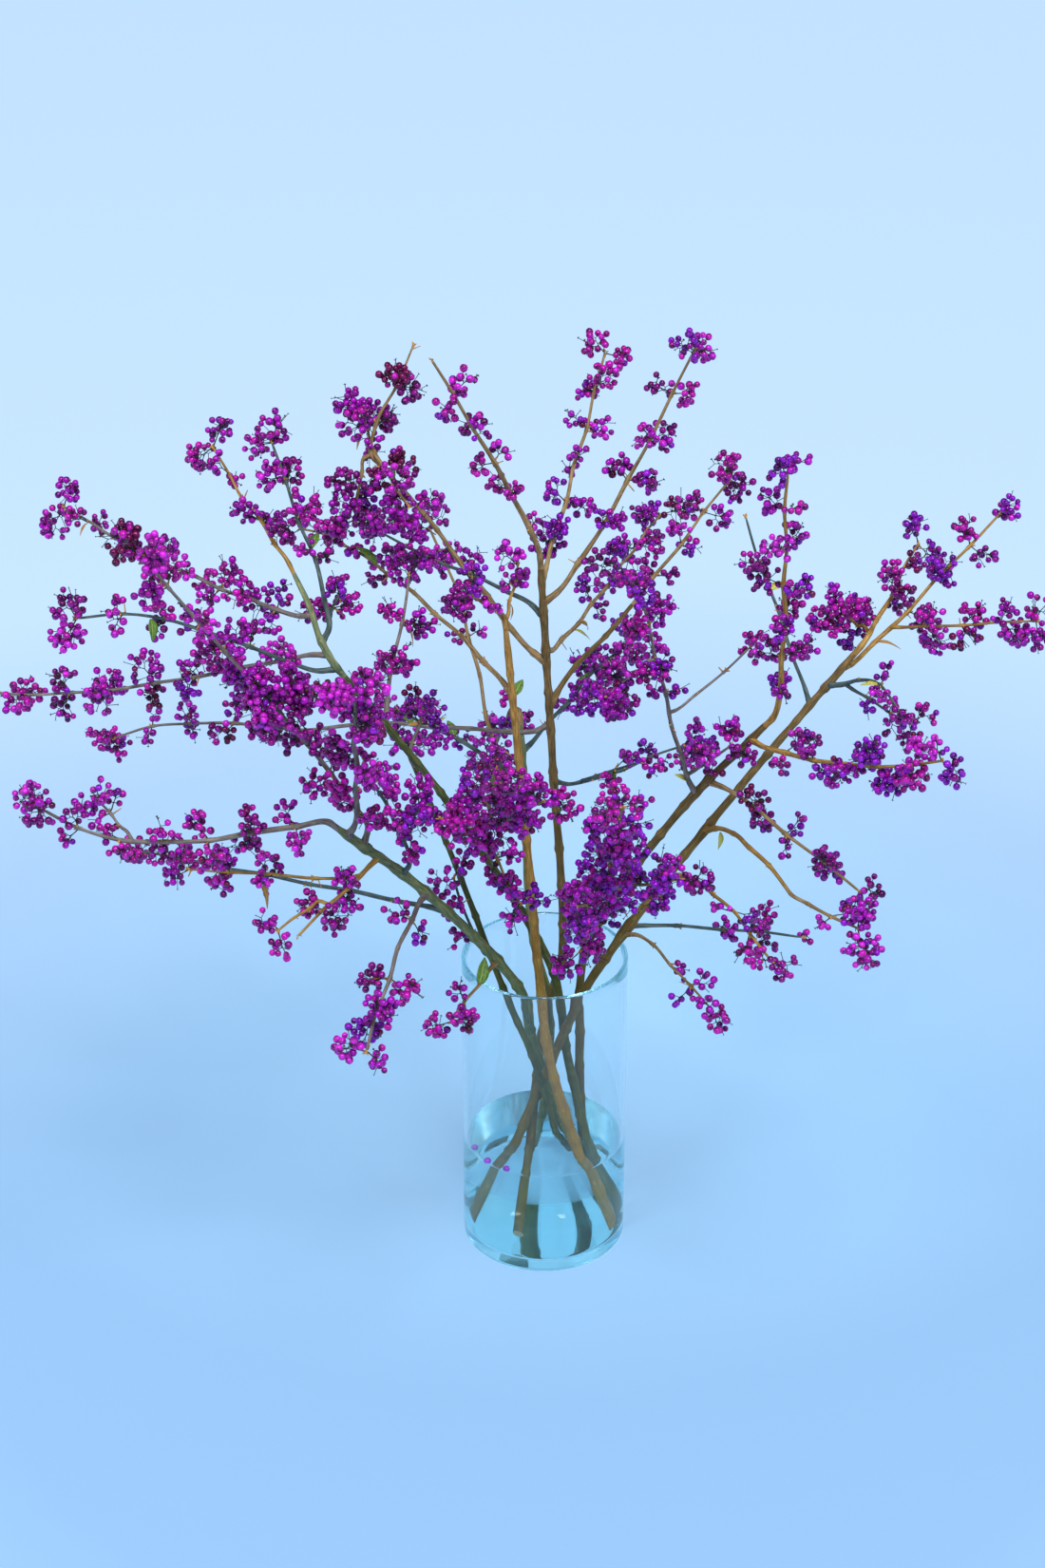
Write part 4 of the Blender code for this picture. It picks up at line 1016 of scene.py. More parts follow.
def turned_pose(directions, draw):
    """A turned frame for each direction, as matrices whose third row points along it."""
    along = units(np.asarray(directions))
    helper = units(draw.normal(size=along.shape))
    across = units(np.cross(along, helper))
    return np.stack([across, np.cross(along, across), along], axis=1)


def add_copies(shape, form, centres, directions, sizes, draw):
    """Copies of a small form at each centre, its third axis turned along each direction."""
    template, faces = form
    points = centres[:, None] + sizes.reshape(-1, 1, 1) * (template[None] @ turned_pose(directions, draw))
    base = len(template) * np.arange(len(centres))[:, None, None]
    shape.add(points, [((base + faces[None]).reshape(-1, faces.shape[1]), 0)])


def lathe(levels, sides):
    """Points and triangles of a small turned form from (radius, height), closed at both poles."""
    points = [(0.0, 0.0, levels[0][1])]
    for radius, height in levels[1:-1]:
        points += [(radius * math.cos(a), radius * math.sin(a), height) for a in turns(sides)]
    points.append((0.0, 0.0, levels[-1][1]))
    quads = 1 + tube_faces(len(levels) - 2, sides)
    low = fan(0, 1, sides, flip=True)
    high = fan(len(points) - 1, 1 + (len(levels) - 3) * sides, sides)
    faces = np.vstack([quads[:, [0, 1, 2]], quads[:, [0, 2, 3]], low, high])
    return np.array(points), faces


def berry_form():
    """A round berry, a little dimpled at the tip that points away from its stalk."""
    levels = []
    for step in range(BERRY_RINGS + 1):
        angle = math.pi * (1 - step / BERRY_RINGS)
        radius = 1 - TIP_DIMPLE * hump(angle, DIMPLE_WIDTH)
        levels.append((radius * math.sin(angle), radius * math.cos(angle)))
    return lathe(levels, BERRY_SIDES)


def calyx_form():
    """A small four-lobed star that cups a berry's foot."""
    points = [(0.0, 0.0, 0.0)]
    for step, angle in enumerate(turns(CALYX_POINTS)):
        radius, height = CALYX_LOBE if step % 2 == 0 else CALYX_NOTCH
        points.append((radius * math.cos(angle), radius * math.sin(angle), height))
    return np.array(points), fan(0, 1, CALYX_POINTS)


class Berries:
    """Every berry's place, size and cluster, settled so that none cuts another."""

    def __init__(self, clusters, draw):
        counts = np.array([cluster.berries for cluster in clusters])
        self.owner = np.repeat(np.arange(len(clusters)), counts)
        self.middles = np.array([cluster.centre for cluster in clusters])[self.owner]
        sizes = np.array([cluster.size for cluster in clusters])
        self.spreads = (sizes * draw.uniform(TIGHT_LEAST, TIGHT_MOST, len(clusters)))[self.owner]
        total = len(self.owner)
        self.radii = draw.uniform(BERRY_LEAST, BERRY_MOST, total)
        directions = units(draw.normal(size=(total, 3)))
        depth = 1 - INNER_SHARE * draw.random(total) ** 2
        self.centres = self.middles + (self.spreads * depth)[:, None] * directions

    def settle(self, limbs):
        pairs = self.near_pairs()
        starts, ends, radii = (np.concatenate(part) for part in zip(*(limb.capsules() for limb in limbs)))
        rods = self.near_rods(starts, ends)
        for _ in range(SETTLE_ROUNDS):
            self.part(pairs)
            self.leave_limbs(rods, starts, ends, radii)
            self.leave_vase()
            self.stay_near()

    def near_pairs(self):
        """Pairs of berries near enough to meet as they settle."""
        tree = KDTree(len(self.centres))
        for index, centre in enumerate(self.centres):
            tree.insert(centre, index)
        tree.balance()
        pairs = []
        for index, centre in enumerate(self.centres):
            pairs += [(index, other) for _, other, _ in tree.find_range(centre, PAIR_REACH) if other > index]
        return np.array(pairs)

    def near_rods(self, starts, ends):
        """Berries with each stretch of limb near them."""
        found = []
        for index, centre in enumerate(self.centres):
            gap = self.from_rods(centre, starts, ends)
            for rod in np.nonzero(np.linalg.norm(gap, axis=1) < ROD_REACH)[0]:
                found.append((index, rod))
        return np.array(found)

    @staticmethod
    def from_rods(centres, starts, ends):
        """From the nearest point of each rod to the centres."""
        spans = ends - starts
        share = ((centres - starts) * spans).sum(-1) / np.maximum((spans * spans).sum(-1), 1e-12)
        return centres - starts - np.clip(share, 0.0, 1.0)[..., None] * spans

    def part(self, pairs):
        first, second = pairs.T
        gap = self.centres[first] - self.centres[second]
        apart = lengths(gap)
        lap = BERRY_TOUCH * (self.radii[first] + self.radii[second]) - apart
        close = lap > 0
        push = (0.5 * PUSH_SHARE * lap / apart)[close, None] * gap[close]
        np.add.at(self.centres, first[close], push)
        np.add.at(self.centres, second[close], -push)

    def leave_limbs(self, rods, starts, ends, radii):
        berry, rod = rods.T
        gap = self.from_rods(self.centres[berry], starts[rod], ends[rod])
        apart = lengths(gap)
        lap = self.radii[berry] + radii[rod] + LIMB_SPACE - apart
        close = lap > 0
        np.add.at(self.centres, berry[close], (lap / apart)[close, None] * gap[close])

    def leave_vase(self):
        across = np.linalg.norm(self.centres[:, :2], axis=1)
        reach = 0.5 * VASE_DIAMETER + self.radii + RIM_SPACE
        rise = VASE_HEIGHT + self.radii + RIM_SPACE
        inside = (across < reach) & (self.centres[:, 2] < rise)
        upward = inside & (rise - self.centres[:, 2] < reach - across)
        self.centres[upward, 2] = rise[upward]
        beside = inside & ~upward
        self.centres[beside, :2] *= (reach / np.maximum(across, 1e-6))[beside, None]

    def stay_near(self):
        gap = self.centres - self.middles
        apart = lengths(gap)
        most = STRAY_MOST * self.spreads + STRAY_EXTRA
        self.centres = self.middles + np.minimum(1.0, most / apart)[:, None] * gap


def grow_stalks(cluster, ends, rods, ties):
    """Forking stalks from a cluster's foot to each end, thinner at each fork."""
    ends = np.asarray(ends)

    def fork(start, members, thickness):
        if len(members) == 1:
            rods.append((start, ends[members[0]], thickness, STALK_LEAST))
            ties[members[0]] = unit(ends[members[0]] - start)
            return
        middle = ends[members].mean(axis=0)
        joint = start + FORK_SHARE * (middle - start)
        thinner = max(STALK_LEAST, thickness * STALK_TAPER)
        rods.append((start, joint, thickness, thinner))
        spread = ends[members] - middle
        axis = np.linalg.svd(spread, full_matrices=False)[2][0]
        order = np.argsort(spread @ axis)
        half = len(members) // 2
        fork(joint, members[order[:half]], thinner)
        fork(joint, members[order[half:]], thinner)

    crotch = cluster.foot + PEDUNCLE_SHARE * (cluster.centre - cluster.foot)
    rods.append((cluster.foot, crotch, STALK_MOST, STALK_MOST * STALK_TAPER))
    fork(crotch, np.arange(len(ends)), STALK_MOST * STALK_TAPER)


class Surface:
    """A procedural material on one Principled shader."""

    def __init__(self, name, **sockets):
        self.material = bpy.data.materials.new(name)
        self.material.use_nodes = True
        self.tree = self.material.node_tree
        self.shader = self.tree.nodes["Principled BSDF"]
        for socket, value in sockets.items():
            self.shader.inputs[socket.replace("_", " ")].default_value = value

    def feed(self, socket, value):
        """Links a socket to another, or sets it where the value is a plain one."""
        if isinstance(value, bpy.types.NodeSocket):
            self.tree.links.new(value, socket)
        else:
            socket.default_value = value

    def node(self, kind, settings=None, **inputs):
        """A node whose inputs are values, or sockets to link from."""
        node = self.tree.nodes.new("ShaderNode" + kind)
        for setting, value in (settings or {}).items():
            setattr(node, setting, value)
        for name, value in inputs.items():
            self.feed(node.inputs[name.replace("_", " ")], value)
        return node

    def calculate(self, operation, *values):
        node = self.node("Math", {"operation": operation})
        for socket, value in zip(node.inputs, values):
            self.feed(socket, value)
        return node.outputs["Value"]

    def position(self):
        return self.node("TexCoord").outputs["Object"]

    def grain(self, stretch=1.0):
        source = self.node("Attribute", {"attribute_name": "grain"}).outputs["Vector"]
        return self.node("Mapping", Vector=source, Scale=(1.0, 1.0, stretch)).outputs["Vector"]

    def noise(self, vector, scale, detail=3.0, roughness=0.5):
        node = self.node("TexNoise", Vector=vector, Scale=scale, Detail=detail, Roughness=roughness)
        return node.outputs["Fac"]

    def between(self, value, low, high, to_low=0.0, to_high=1.0):
        node = self.node("MapRange", Value=value, From_Min=low, From_Max=high, To_Min=to_low, To_Max=to_high)
        return node.outputs["Result"]

    def mix(self, factor, first, second):
        node = self.node("Mix", {"data_type": "RGBA"})
        for index, value in ((0, factor), (6, first), (7, second)):
            self.feed(node.inputs[index], value)
        return node.outputs[2]

    def paint(self, colour, roughness=None):
        self.feed(self.shader.inputs["Base Color"], colour)
        if roughness is not None:
            self.feed(self.shader.inputs["Roughness"], roughness)

    def bump(self, height, depth, strength):
        node = self.node("Bump", Height=height, Distance=depth, Strength=strength)
        self.feed(self.shader.inputs["Normal"], node.outputs["Normal"])


def tint(red, green, blue):
    """A display colour from 0 to 255 as a shader colour."""
    channels = []
    for value in (red, green, blue):
        share = value / 255
        channels.append(share / 12.92 if share <= 0.04045 else ((share + 0.055) / 1.055) ** 2.4)
    return (*channels, 1.0)


def bark_material(name, pale, dark, low_tone, low_share):
    """Streaked bark with pale lenticels, turning to another tone towards the foot."""
    pale, dark, low_tone = tint(*pale), tint(*dark), tint(*low_tone)
    surface = Surface(name, Roughness=0.62, Specular_IOR_Level=0.25)
    streaks = surface.noise(surface.grain(STREAK_STRETCH), STREAK_SCALE, 4.0, 0.6)
    patches = surface.noise(surface.grain(), PATCH_SCALE, 2.0)
    dots = surface.node("TexVoronoi", Vector=surface.grain(LENTICEL_STRETCH), Scale=LENTICEL_SCALE)
    spots = surface.between(dots.outputs["Distance"], *LENTICEL_EDGE)
    shade = surface.mix(surface.between(streaks, *STREAK_EDGE), dark, pale)
    height = surface.node("SeparateXYZ", Vector=surface.position()).outputs["Z"]
    toned = surface.mix(surface.between(height, *LOW_HEIGHTS, 0.0, low_share), shade, low_tone)
    worn = surface.mix(surface.between(patches, *PATCH_EDGE, 0.0, WORN_SHARE), toned, dark)
    surface.paint(surface.mix(surface.calculate("MULTIPLY", spots, SPOT_SHARE), worn, pale),
                  surface.between(patches, *ROUGH_TONES, *BARK_ROUGHNESS))
    surface.bump(surface.calculate("MULTIPLY_ADD", spots, SPOT_HEIGHT, streaks), BARK_RELIEF, 0.7)
    return surface.material


def plain_material(name, dark, light, scale, relief, roughness=0.6, shine=0.3, stretch=1.0,
                   detail=3.0, grit=0.5, spread=HALF_TONES, strength=0.5):
    """Fine fibres or patches between two tones."""
    surface = Surface(name, Roughness=roughness, Specular_IOR_Level=shine)
    fibres = surface.noise(surface.grain(stretch), scale, detail, grit)
    surface.paint(surface.mix(surface.between(fibres, *spread), tint(*dark), tint(*light)))
    surface.bump(fibres, relief, strength)
    return surface.material


def cut_material():
    """Fresh pale wood of a cut end."""
    return plain_material("cut_wood", (150, 118, 74), (214, 190, 142), 2600.0, 0.0003, roughness=0.75,
                          shine=0.25, detail=4.0, grit=0.7, spread=(0.0, 1.0))


def stalk_material():
    """Dark, slightly green-blue stalks and star calyces."""
    return plain_material("dark_stalks", (26, 34, 38), (62, 62, 48), 420.0, 0.0001)


def bud_material():
    """Ochre bud scales and dry stubs."""
    return plain_material("bud_scales", (140, 96, 44), (208, 160, 84), 1500.0, 0.0002, roughness=0.7,
                          stretch=0.4, strength=0.6)


def berry_material(name, base, deep, bright):
    """Glossy skin with a faint cloudy bloom and small pores."""
    surface = Surface(name, Roughness=0.3, Specular_IOR_Level=0.5, Specular_Tint=GLEAM_COLOUR)
    where = surface.grain()
    blush = surface.noise(where, BLUSH_SCALE, 2.0)
    cloud = surface.noise(where, CLOUD_SCALE, 3.0, 0.6)
    body = surface.mix(surface.between(blush, *HALF_TONES), deep, base)
    surface.paint(surface.mix(surface.between(cloud, *CLOUD_EDGE, 0.0, CLOUD_SHARE), body, bright),
                  surface.between(cloud, *ROUGH_TONES, *BERRY_ROUGHNESS))
    surface.bump(surface.noise(where, PORE_SCALE, 2.0), PORE_DEPTH, 0.4)
    return surface.material


def leaf_material(kind, dark, light, rib):
    """A mottled leaf with a lighter midrib in the blade's own coordinates."""
    surface = Surface(kind + "_leaf", Roughness=0.45, Specular_IOR_Level=0.4)
    across = surface.node("SeparateXYZ", Vector=surface.grain()).outputs["X"]
    midrib = surface.between(surface.calculate("ABSOLUTE", across), *MIDRIB_EDGE)
    mottle = surface.noise(surface.grain(), MOTTLE_SCALE, 3.0)
    blade = surface.mix(surface.between(mottle, *HALF_TONES), tint(*dark), tint(*light))
    surface.paint(surface.mix(midrib, blade, tint(*rib)))
    surface.bump(midrib, 0.0002, 0.5)
    return surface.material


def clear_material(name, colour, refraction, wave_scale, wave_strength):
    """Clear glass or water: it bends light, and lets the lamps through without a black shadow."""
    surface = Surface(name, Base_Color=colour, Roughness=0.0, IOR=refraction, Transmission_Weight=1.0)
    surface.bump(surface.noise(surface.position(), wave_scale, 1.0), WAVE_DEPTH, wave_strength)
    rays = surface.node("LightPath").outputs
    loose = surface.calculate("MAXIMUM", rays["Is Shadow Ray"], rays["Is Diffuse Ray"])
    through = surface.node("BsdfTransparent", Color=SHADE_COLOUR)
    mixed = surface.node("MixShader", Fac=loose)
    surface.feed(mixed.inputs[1], surface.shader.outputs["BSDF"])
    surface.feed(mixed.inputs[2], through.outputs["BSDF"])
    surface.feed(surface.tree.nodes["Material Output"].inputs["Surface"], mixed.outputs["Shader"])
    return surface.material


def arc_points(centre, radius, first, last, count):
    angles = [math.radians(first + (last - first) * step / count) for step in range(count + 1)]
    return [(centre[0] + radius * math.cos(a), centre[1] + radius * math.sin(a)) for a in angles]


def turned_piece(name, profile, material, slot, node, inside_first=False):
    """A turned body from a profile that starts and ends on the axis."""
    points, faces = lathe(profile, TURNED_SIDES)
    shape = Shape()
    shape.add(points, [(faces[:, ::-1] if inside_first else faces, 0)])
    shape.piece(name, [material], slot, [node])


def make_vase():
    outer = 0.5 * VASE_DIAMETER
    inner = outer - GLASS_WALL
    bead = 0.5 * GLASS_WALL
    top = VASE_HEIGHT - WALL_INSET
    profile = [(0.0, GLASS_BASE - BASE_DISH), (0.5 * inner, GLASS_BASE - 0.5 * BASE_DISH)]
    corner = (inner - INNER_FILLET, GLASS_BASE + INNER_FILLET)
    profile += arc_points(corner, INNER_FILLET, -90, 0, FILLET_STEPS)
    profile += [(inner, height) for height in np.linspace(WALL_LOW, top, WALL_RINGS)]
    profile += arc_points((outer - bead, VASE_HEIGHT - bead), bead, 180, 0, RIM_STEPS)
    profile += [(outer, height) for height in np.linspace(top, WALL_LOW, WALL_RINGS)]
    profile += arc_points((outer - HEEL_RADIUS, HEEL_RADIUS), HEEL_RADIUS, 0, -90, FILLET_STEPS)
    profile += [(outer - HEEL_RADIUS - PUNT_EDGE, 0.0), (0.5 * outer, PUNT_RISE), (0.0, PUNT_RISE)]
    glass = clear_material("vase_glass", GLASS_COLOUR, GLASS_REFRACTION, *GLASS_WAVES)
    turned_piece("glass_vase", profile, glass, "clear_glass", "vase", inside_first=True)


def make_water():
    side = 0.5 * VASE_DIAMETER - GLASS_WALL + WATER_LAP
    floor = GLASS_BASE - WATER_LAP
    profile = [(0.0, floor - BASE_DISH)]
    profile += arc_points((side - INNER_FILLET, floor + INNER_FILLET), INNER_FILLET, -90, 0, FILLET_STEPS)
    profile += [(side, WATER_LEVEL + MENISCUS)]
    for step in range(1, MENISCUS_STEPS + 1):
        inward = step / MENISCUS_STEPS
        height = WATER_LEVEL + MENISCUS * (1 - inward) ** MENISCUS_CURVE
        profile.append((side - WATER_LAP - MENISCUS_WIDTH * inward, height))
    profile += [(0.5 * side, WATER_LEVEL), (0.0, WATER_LEVEL)]
    water = clear_material("vase_water", WATER_COLOUR, WATER_REFRACTION, *WATER_WAVES)
    turned_piece("vase_water_body", profile, water, "clear_water", "water")


def station_scars(limb, draw):
    """A pair of leaf scars at each station of a stem or bough, turned a quarter each time."""
    scars = []
    turn = draw.uniform(0.0, math.pi)
    for station in range(1, len(limb.path) - 1):
        along = unit(limb.path[station] - limb.path[station - 1])
        across = unit(np.cross(along, SKEWED))
        turn += QUARTER_TURN
        scars += [(limb.shares[station], outward(along, across, turn + side)) for side in (0.0, math.pi)]
    return scars


def make_limbs(limbs, scars):
    """Bark for each stem and bough, and for all shoots of one kind of bark joined."""
    barks = {kind: bark_material(kind + "_bark_skin", *rule) for kind, rule in BARKS.items()}
    cut = cut_material()
    for table, seed, sides, slot in ((STEMS, STEM_SEED, STEM_SIDES, "stem_bark"),
                                     (BOUGHS, BOUGH_SEED, BOUGH_SIDES, "bough_bark")):
        for order, name in enumerate(table):
            draw = np.random.default_rng(seed + order)
            shape = Shape()
            add_limb(shape, name, limbs, sides, LIMB_STEP, station_scars(limbs[name], draw), draw)
            shape.piece(name + "_bark", [barks[LIMB_BARKS[name]], cut], slot, [name], sharp=True)
    kinds = {spray: kind for kind, sprays in SPRAY_BARKS.items() for spray in sprays}
    twigs = {}
    for order, name in enumerate(SHOOTS):
        limb = limbs[name]
        own = [(limb.shares[scar.station], scar.aim) for scar in scars if scar.limb is limb]
        shape, sprays = twigs.setdefault(kinds.get(limb.node, "tan"), (Shape(), []))
        add_limb(shape, name, limbs, SHOOT_SIDES, SHOOT_STEP, own, np.random.default_rng(SHOOT_SEED + order))
        if limb.node == name:
            sprays.append(name)
    for kind, (shape, sprays) in twigs.items():
        shape.piece(kind + "_twigs", [barks[kind], cut], "bough_bark", sprays, sharp=True)


def make_buds(limbs, scars):
    """Paired buds above the scars, a bud at each tip, and here and there a dry stub."""
    draw = np.random.default_rng(BUD_SEED)
    buds, stubs = [], []
    for limb, station, aim, along in scars:
        middle = limb.path[station]
        radius = limb.radii[station]
        bud_aim = unit(aim + BUD_RISE * along)
        buds.append((middle + radius * aim + BUD_ABOVE * along, bud_aim, draw.uniform(*BUD_SIZES)))
        if draw.random() < STUB_SHARE:
            start = middle + STUB_SUNK * radius * aim - BUD_ABOVE * along
            bend = unit(aim + draw.normal(0.0, STUB_BEND, 3))
            end = start + draw.uniform(*STUB_LENGTHS) * bend
            stubs.append((start, end, draw.uniform(*STUB_RADII)))
    for name, limb in limbs.items():
        if has_bud(name):
            buds.append((limb.path[-1], limb.path[-1] - limb.path[-2], TIP_BUD_SIZE))
    shape = Shape()
    add_copies(shape, lathe(BUD_LEVELS, BUD_SIDES), *map(np.array, zip(*buds)), draw)
    starts, ends, radii = map(np.array, zip(*stubs))
    add_rods(shape, starts, ends, radii, STUB_TAPER * radii, sides=5)
    shape.piece("buds_and_stubs", [bud_material()], "bough_bark")


def make_berries(clusters, limbs):
    """Berries joined by tint, with their forking stalks and star calyces."""
    draw = np.random.default_rng(BERRY_SEED)
    berries = Berries(clusters, draw)
    berries.settle(limbs.values())
    rods = []
    facing = np.zeros_like(berries.centres)
    stars, star_aims = [], []
    for order, cluster in enumerate(clusters):
        members = np.nonzero(berries.owner == order)[0]
        bare = max(0, round(BARE_SHARE * len(members) + draw.normal(0.0, 1.0)))
        aims = units(draw.normal(size=(bare, 3)) + cluster.aim)
        spare = cluster.centre + cluster.size * draw.uniform(*BARE_REACH, (bare, 1)) * aims
        toward = units(cluster.centre - berries.centres[members] - STALK_LEAN * cluster.size * cluster.aim)
        attached = berries.centres[members] + STALK_DEPTH * berries.radii[members, None] * toward
        ties = {}
        grow_stalks(cluster, np.vstack([attached, spare]), rods, ties)
        for member, tie in zip(members, attached):
            facing[member] = unit(berries.centres[member] - tie)
        stars.extend(spare)
        star_aims.extend(ties[len(members) + index] for index in range(bare))
    green = stalk_material()
    stalks = Shape()
    starts, ends, thick, thin = map(np.array, zip(*rods))
    add_rods(stalks, starts, ends, 0.5 * thick, 0.5 * thin)
    stalks.piece("berry_stalks", [green], "bough_bark")
    calyces = Shape()
    feet = berries.centres - CALYX_DEPTH * berries.radii[:, None] * facing
    add_copies(calyces, calyx_form(), feet, facing, berries.radii, draw)
    add_copies(calyces, calyx_form(), np.array(stars), star_aims, np.full(len(stars), BARE_STAR), draw)
    calyces.piece("calyces", [green], "bough_bark")
    deal_berries(berries, clusters, facing, limbs, draw)


def deal_berries(berries, clusters, facing, limbs, draw):
    """Deals the tints out by cluster, with a few odd berries, and joins the berries of each tint."""
    right = np.array([limbs[cluster.limb.node].path[-1][0] > TINT_DIVIDE for cluster in clusters])
    common = np.zeros(len(clusters), dtype=int)
    own = np.zeros(len(berries.owner), dtype=int)
    for side, share in ((False, 1), (True, 2)):
        shares = np.array([rule[share] for rule in TINTS.values()], dtype=float)
        here = right == side
        members = here[berries.owner]
        common[here] = draw.choice(len(TINTS), here.sum(), p=shares / shares.sum())
        own[members] = draw.choice(len(TINTS), members.sum(), p=shares / shares.sum())
    alone = draw.random(len(own)) < OWN_TINT_SHARE
    dealt = np.where(alone, own, common[berries.owner])
    for index, (name, (base, _, _, slot)) in enumerate(TINTS.items()):
        chosen = dealt == index
        shape = Shape()
        add_copies(shape, berry_form(), berries.centres[chosen], facing[chosen], berries.radii[chosen], draw)
        deep = tint(*(DEEP_SHARE * value for value in base))
        bright = tint(*(value + BRIGHT_SHARE * (255 - value) for value in base))
        shape.piece("berries_" + name, [berry_material(name, tint(*base), deep, bright)], slot)


def make_fallen():
    """The few berries that float on the water."""
    draw = np.random.default_rng(BERRY_SEED)
    centres = np.array([place(bearing, reach, WATER_LEVEL + FLOAT_RISE) for bearing, reach in FALLEN])
    sizes = draw.uniform(BERRY_LEAST, BERRY_MOST, len(centres))
    shape = Shape()
    add_copies(shape, berry_form(), centres, units(draw.normal(size=centres.shape)), sizes, draw)
    base = TINTS["violet"][0]
    deep = tint(*(FLOAT_DEEP_SHARE * value for value in base))
    skin = berry_material("floating", tint(*base), deep, tint(*base))
    shape.piece("fallen_berries", [skin], "violet_berries")


def add_leaf(shape, foot, aim, length, half_width, droop, draw):
    """A cupped blade with a folded midrib, from its foot along its aim."""
    side = unit(np.cross(aim, UP + LEAF_ROLL * draw.normal(size=3)))
    face = np.cross(side, aim)
    points, grain = [], []
    for step in range(LEAF_ROWS + 1):
        t = step / LEAF_ROWS
        swell = math.sin(math.pi * (LEAF_FOOT + LEAF_SPAN * t) ** LEAF_BELLY)
        width = half_width * length * swell ** LEAF_BLUNTNESS
        stalk = foot + length * t * aim - droop * length * t * t * face
        for u in np.linspace(-1, 1, LEAF_COLUMNS):
            wave = math.sin(LEAF_WAVES[0] * t + LEAF_WAVES[1] * u)
            fold = LEAF_FOLD * width * abs(u) + LEAF_WAVE * width * wave
            points.append(stalk + u * width * side + fold * face)
            grain.append((u, 0.0, t))
    count = len(points)
    grid = np.arange(count).reshape(-1, LEAF_COLUMNS)
    quads = np.stack([grid[:-1, :-1], grid[:-1, 1:], grid[1:, 1:], grid[1:, :-1]], -1).reshape(-1, 4)
    edge = np.array([*grid[:, 0], *grid[-1, 1:], *grid[-2::-1, -1], *grid[0, -2:0:-1]])
    after = np.roll(edge, -1)
    rim = np.stack([edge, after, after + count, edge + count], -1)
    thick = np.array(points) - LEAF_THICKNESS * length * face
    shape.add(np.vstack([points, thick]), [(quads, 0), (count + quads[:, ::-1], 0), (rim, 0)], grain + grain)


def make_leaves(limbs, scars):
    """Small leaves at a few nodes and dry bracts at a few leaf scars, joined by kind."""
    shapes = {kind: Shape() for kind in LEAF_KINDS}
    for order, (name, share, length, bearing, rise, kind) in enumerate(LEAVES):
        draw = np.random.default_rng(LEAF_SEED + order)
        foot, _, radius = limbs[name].at(share)
        aim = unit(place(bearing, 1, rise))
        add_leaf(shapes[kind], foot + radius * aim, aim, length, *LEAF_KINDS[kind][3:], draw)
    draw = np.random.default_rng(BRACT_SEED)
    for index in draw.choice(len(scars), BRACT_COUNT, replace=False):
        limb, station, away, _ = scars[index]
        foot = limb.path[station] + limb.radii[station] * away
        aim = unit(away + draw.normal(0.0, BRACT_BEND, 3))
        add_leaf(shapes["dry"], foot, aim, draw.uniform(*BRACT_LENGTHS), *LEAF_KINDS["dry"][3:], draw)
    for kind, shape in shapes.items():
        shape.piece(kind + "_leaves", [leaf_material(kind, *LEAF_KINDS[kind][:3])], "bough_bark")


def make_floor():
    """A wide pale blue floor, painted lighter round the vase to cancel the shade the branches cast there,
    and lighter far away.
    """
    mesh = bpy.data.meshes.new("floor")
    rim = [place(math.degrees(angle), FLOOR_RADIUS, FLOOR_LEVEL) for angle in turns(FLOOR_SIDES)]
    mesh.from_pydata(rim, [], [tuple(range(FLOOR_SIDES))])
    surface = Surface("pale_floor", Roughness=0.85, Specular_IOR_Level=0.1)
    where = surface.position()
    away = []
    for middle in (PAINTED_LIGHT_MIDDLE, FLOOR_MIDDLE):
        apart = surface.node("VectorMath", {"operation": "DISTANCE"}, Vector=where)
        apart.inputs[1].default_value = middle
        away.append(apart.outputs["Value"])
    # Painted light: a lighter tone round the vase that cancels the branches' shade on the floor
    near = surface.mix(surface.between(away[0], *PAINTED_LIGHT_FADE), FLOOR_PAINTED_LIGHT, FLOOR_NEAR)
    surface.paint(surface.mix(surface.between(away[1], *FLOOR_FADE), near, FLOOR_FAR))
    surface.bump(surface.noise(where, FLOOR_GRAIN, 3.0), FLOOR_RELIEF, 0.15)
    mesh.materials.append(surface.material)
    add_object("floor", mesh)


def add_light(name, kind, spot, aim, power):
    lamp = bpy.data.lights.new(name, kind)
    lamp.energy = power
    return add_object(name, lamp, spot, Vector(aim).to_track_quat("-Z", "Y").to_euler())


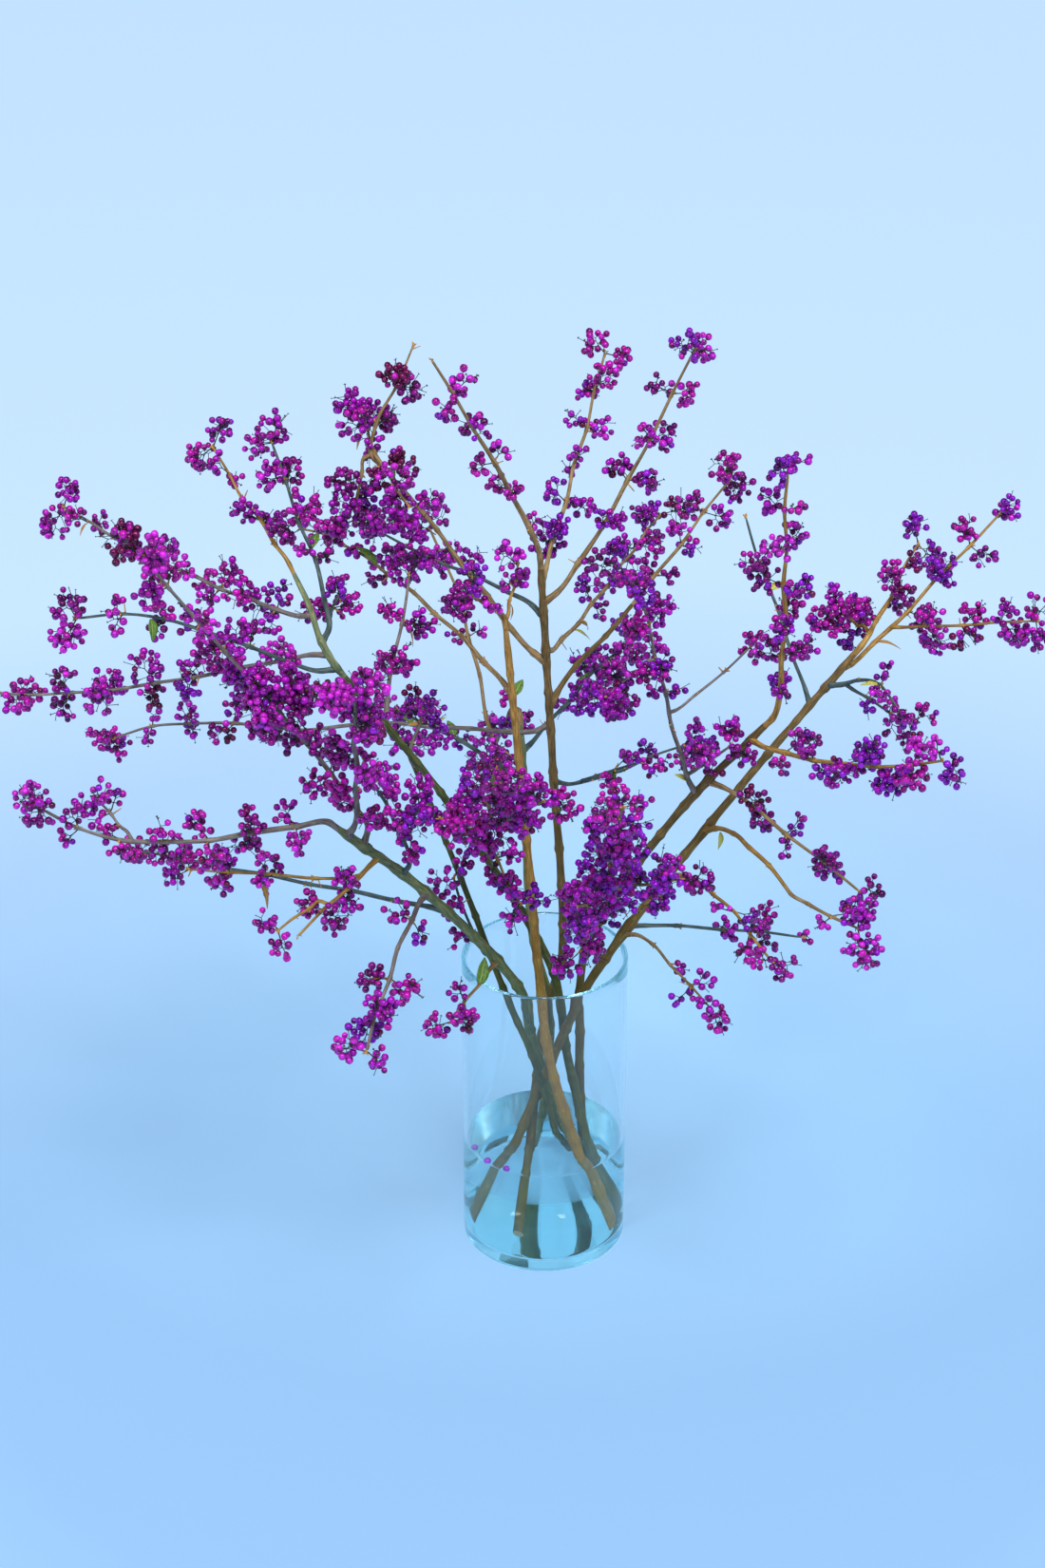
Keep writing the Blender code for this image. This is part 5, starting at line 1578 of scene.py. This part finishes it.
def make_world():
    """Dim sky light, a dark surround in gloss, and a bright one seen through glass and water."""
    world = bpy.data.worlds.new("studio")
    world.use_nodes = True
    nodes, links = world.node_tree.nodes, world.node_tree.links
    nodes["Background"].inputs["Color"].default_value = WORLD_COLOUR
    light = nodes["Background"].outputs[0]
    rays = nodes.new("ShaderNodeLightPath").outputs
    for ray, colour in (("Is Glossy Ray", GLOSS_COLOUR), ("Is Transmission Ray", GLOW_COLOUR)):
        surround = nodes.new("ShaderNodeBackground")
        surround.inputs["Color"].default_value = colour
        mixed = nodes.new("ShaderNodeMixShader")
        links.new(rays[ray], mixed.inputs[0])
        links.new(light, mixed.inputs[1])
        links.new(surround.outputs[0], mixed.inputs[2])
        light = mixed.outputs[0]
    links.new(light, nodes["World Output"].inputs["Surface"])
    bpy.context.scene.world = world


def make_lights():
    """A wide soft sun, and two windows that give the berries and the glass their highlights."""
    make_world()
    sun = add_light("sun", "SUN", (0.0, 0.0, 3.0), SUN_AIM, SUN_POWER)
    sun.data.angle = math.radians(SUN_WIDTH)
    sun.visible_transmission = False
    for name, (spot, target, size, power) in WINDOWS.items():
        lamp = add_light(name, "AREA", spot, np.subtract(target, spot), power).data
        lamp.shape = "RECTANGLE"
        lamp.size, lamp.size_y = size


def make_camera():
    lens = bpy.data.cameras.new("camera")
    lens.lens = CAMERA_LENS
    lens.sensor_width = CAMERA_SENSOR
    scene = bpy.context.scene
    scene.camera = add_object("camera", lens, CAMERA_PLACE, (math.radians(90 - CAMERA_DIP), 0.0, 0.0))
    scene.view_settings.view_transform = "Standard"
    scene.cycles.max_bounces = LIGHT_BOUNCES
    scene.cycles.transmission_bounces = LIGHT_BOUNCES
    scene.cycles.glossy_bounces = LIGHT_BOUNCES
    scene.cycles.transparent_max_bounces = CLEAR_BOUNCES


limbs, space = grow_limbs()
clusters, scars = grow_clusters(limbs, space)
make_camera()
make_lights()
make_floor()
make_limbs(limbs, scars)
make_buds(limbs, scars)
make_berries(clusters, limbs)
make_fallen()
make_leaves(limbs, scars)
make_vase()
make_water()
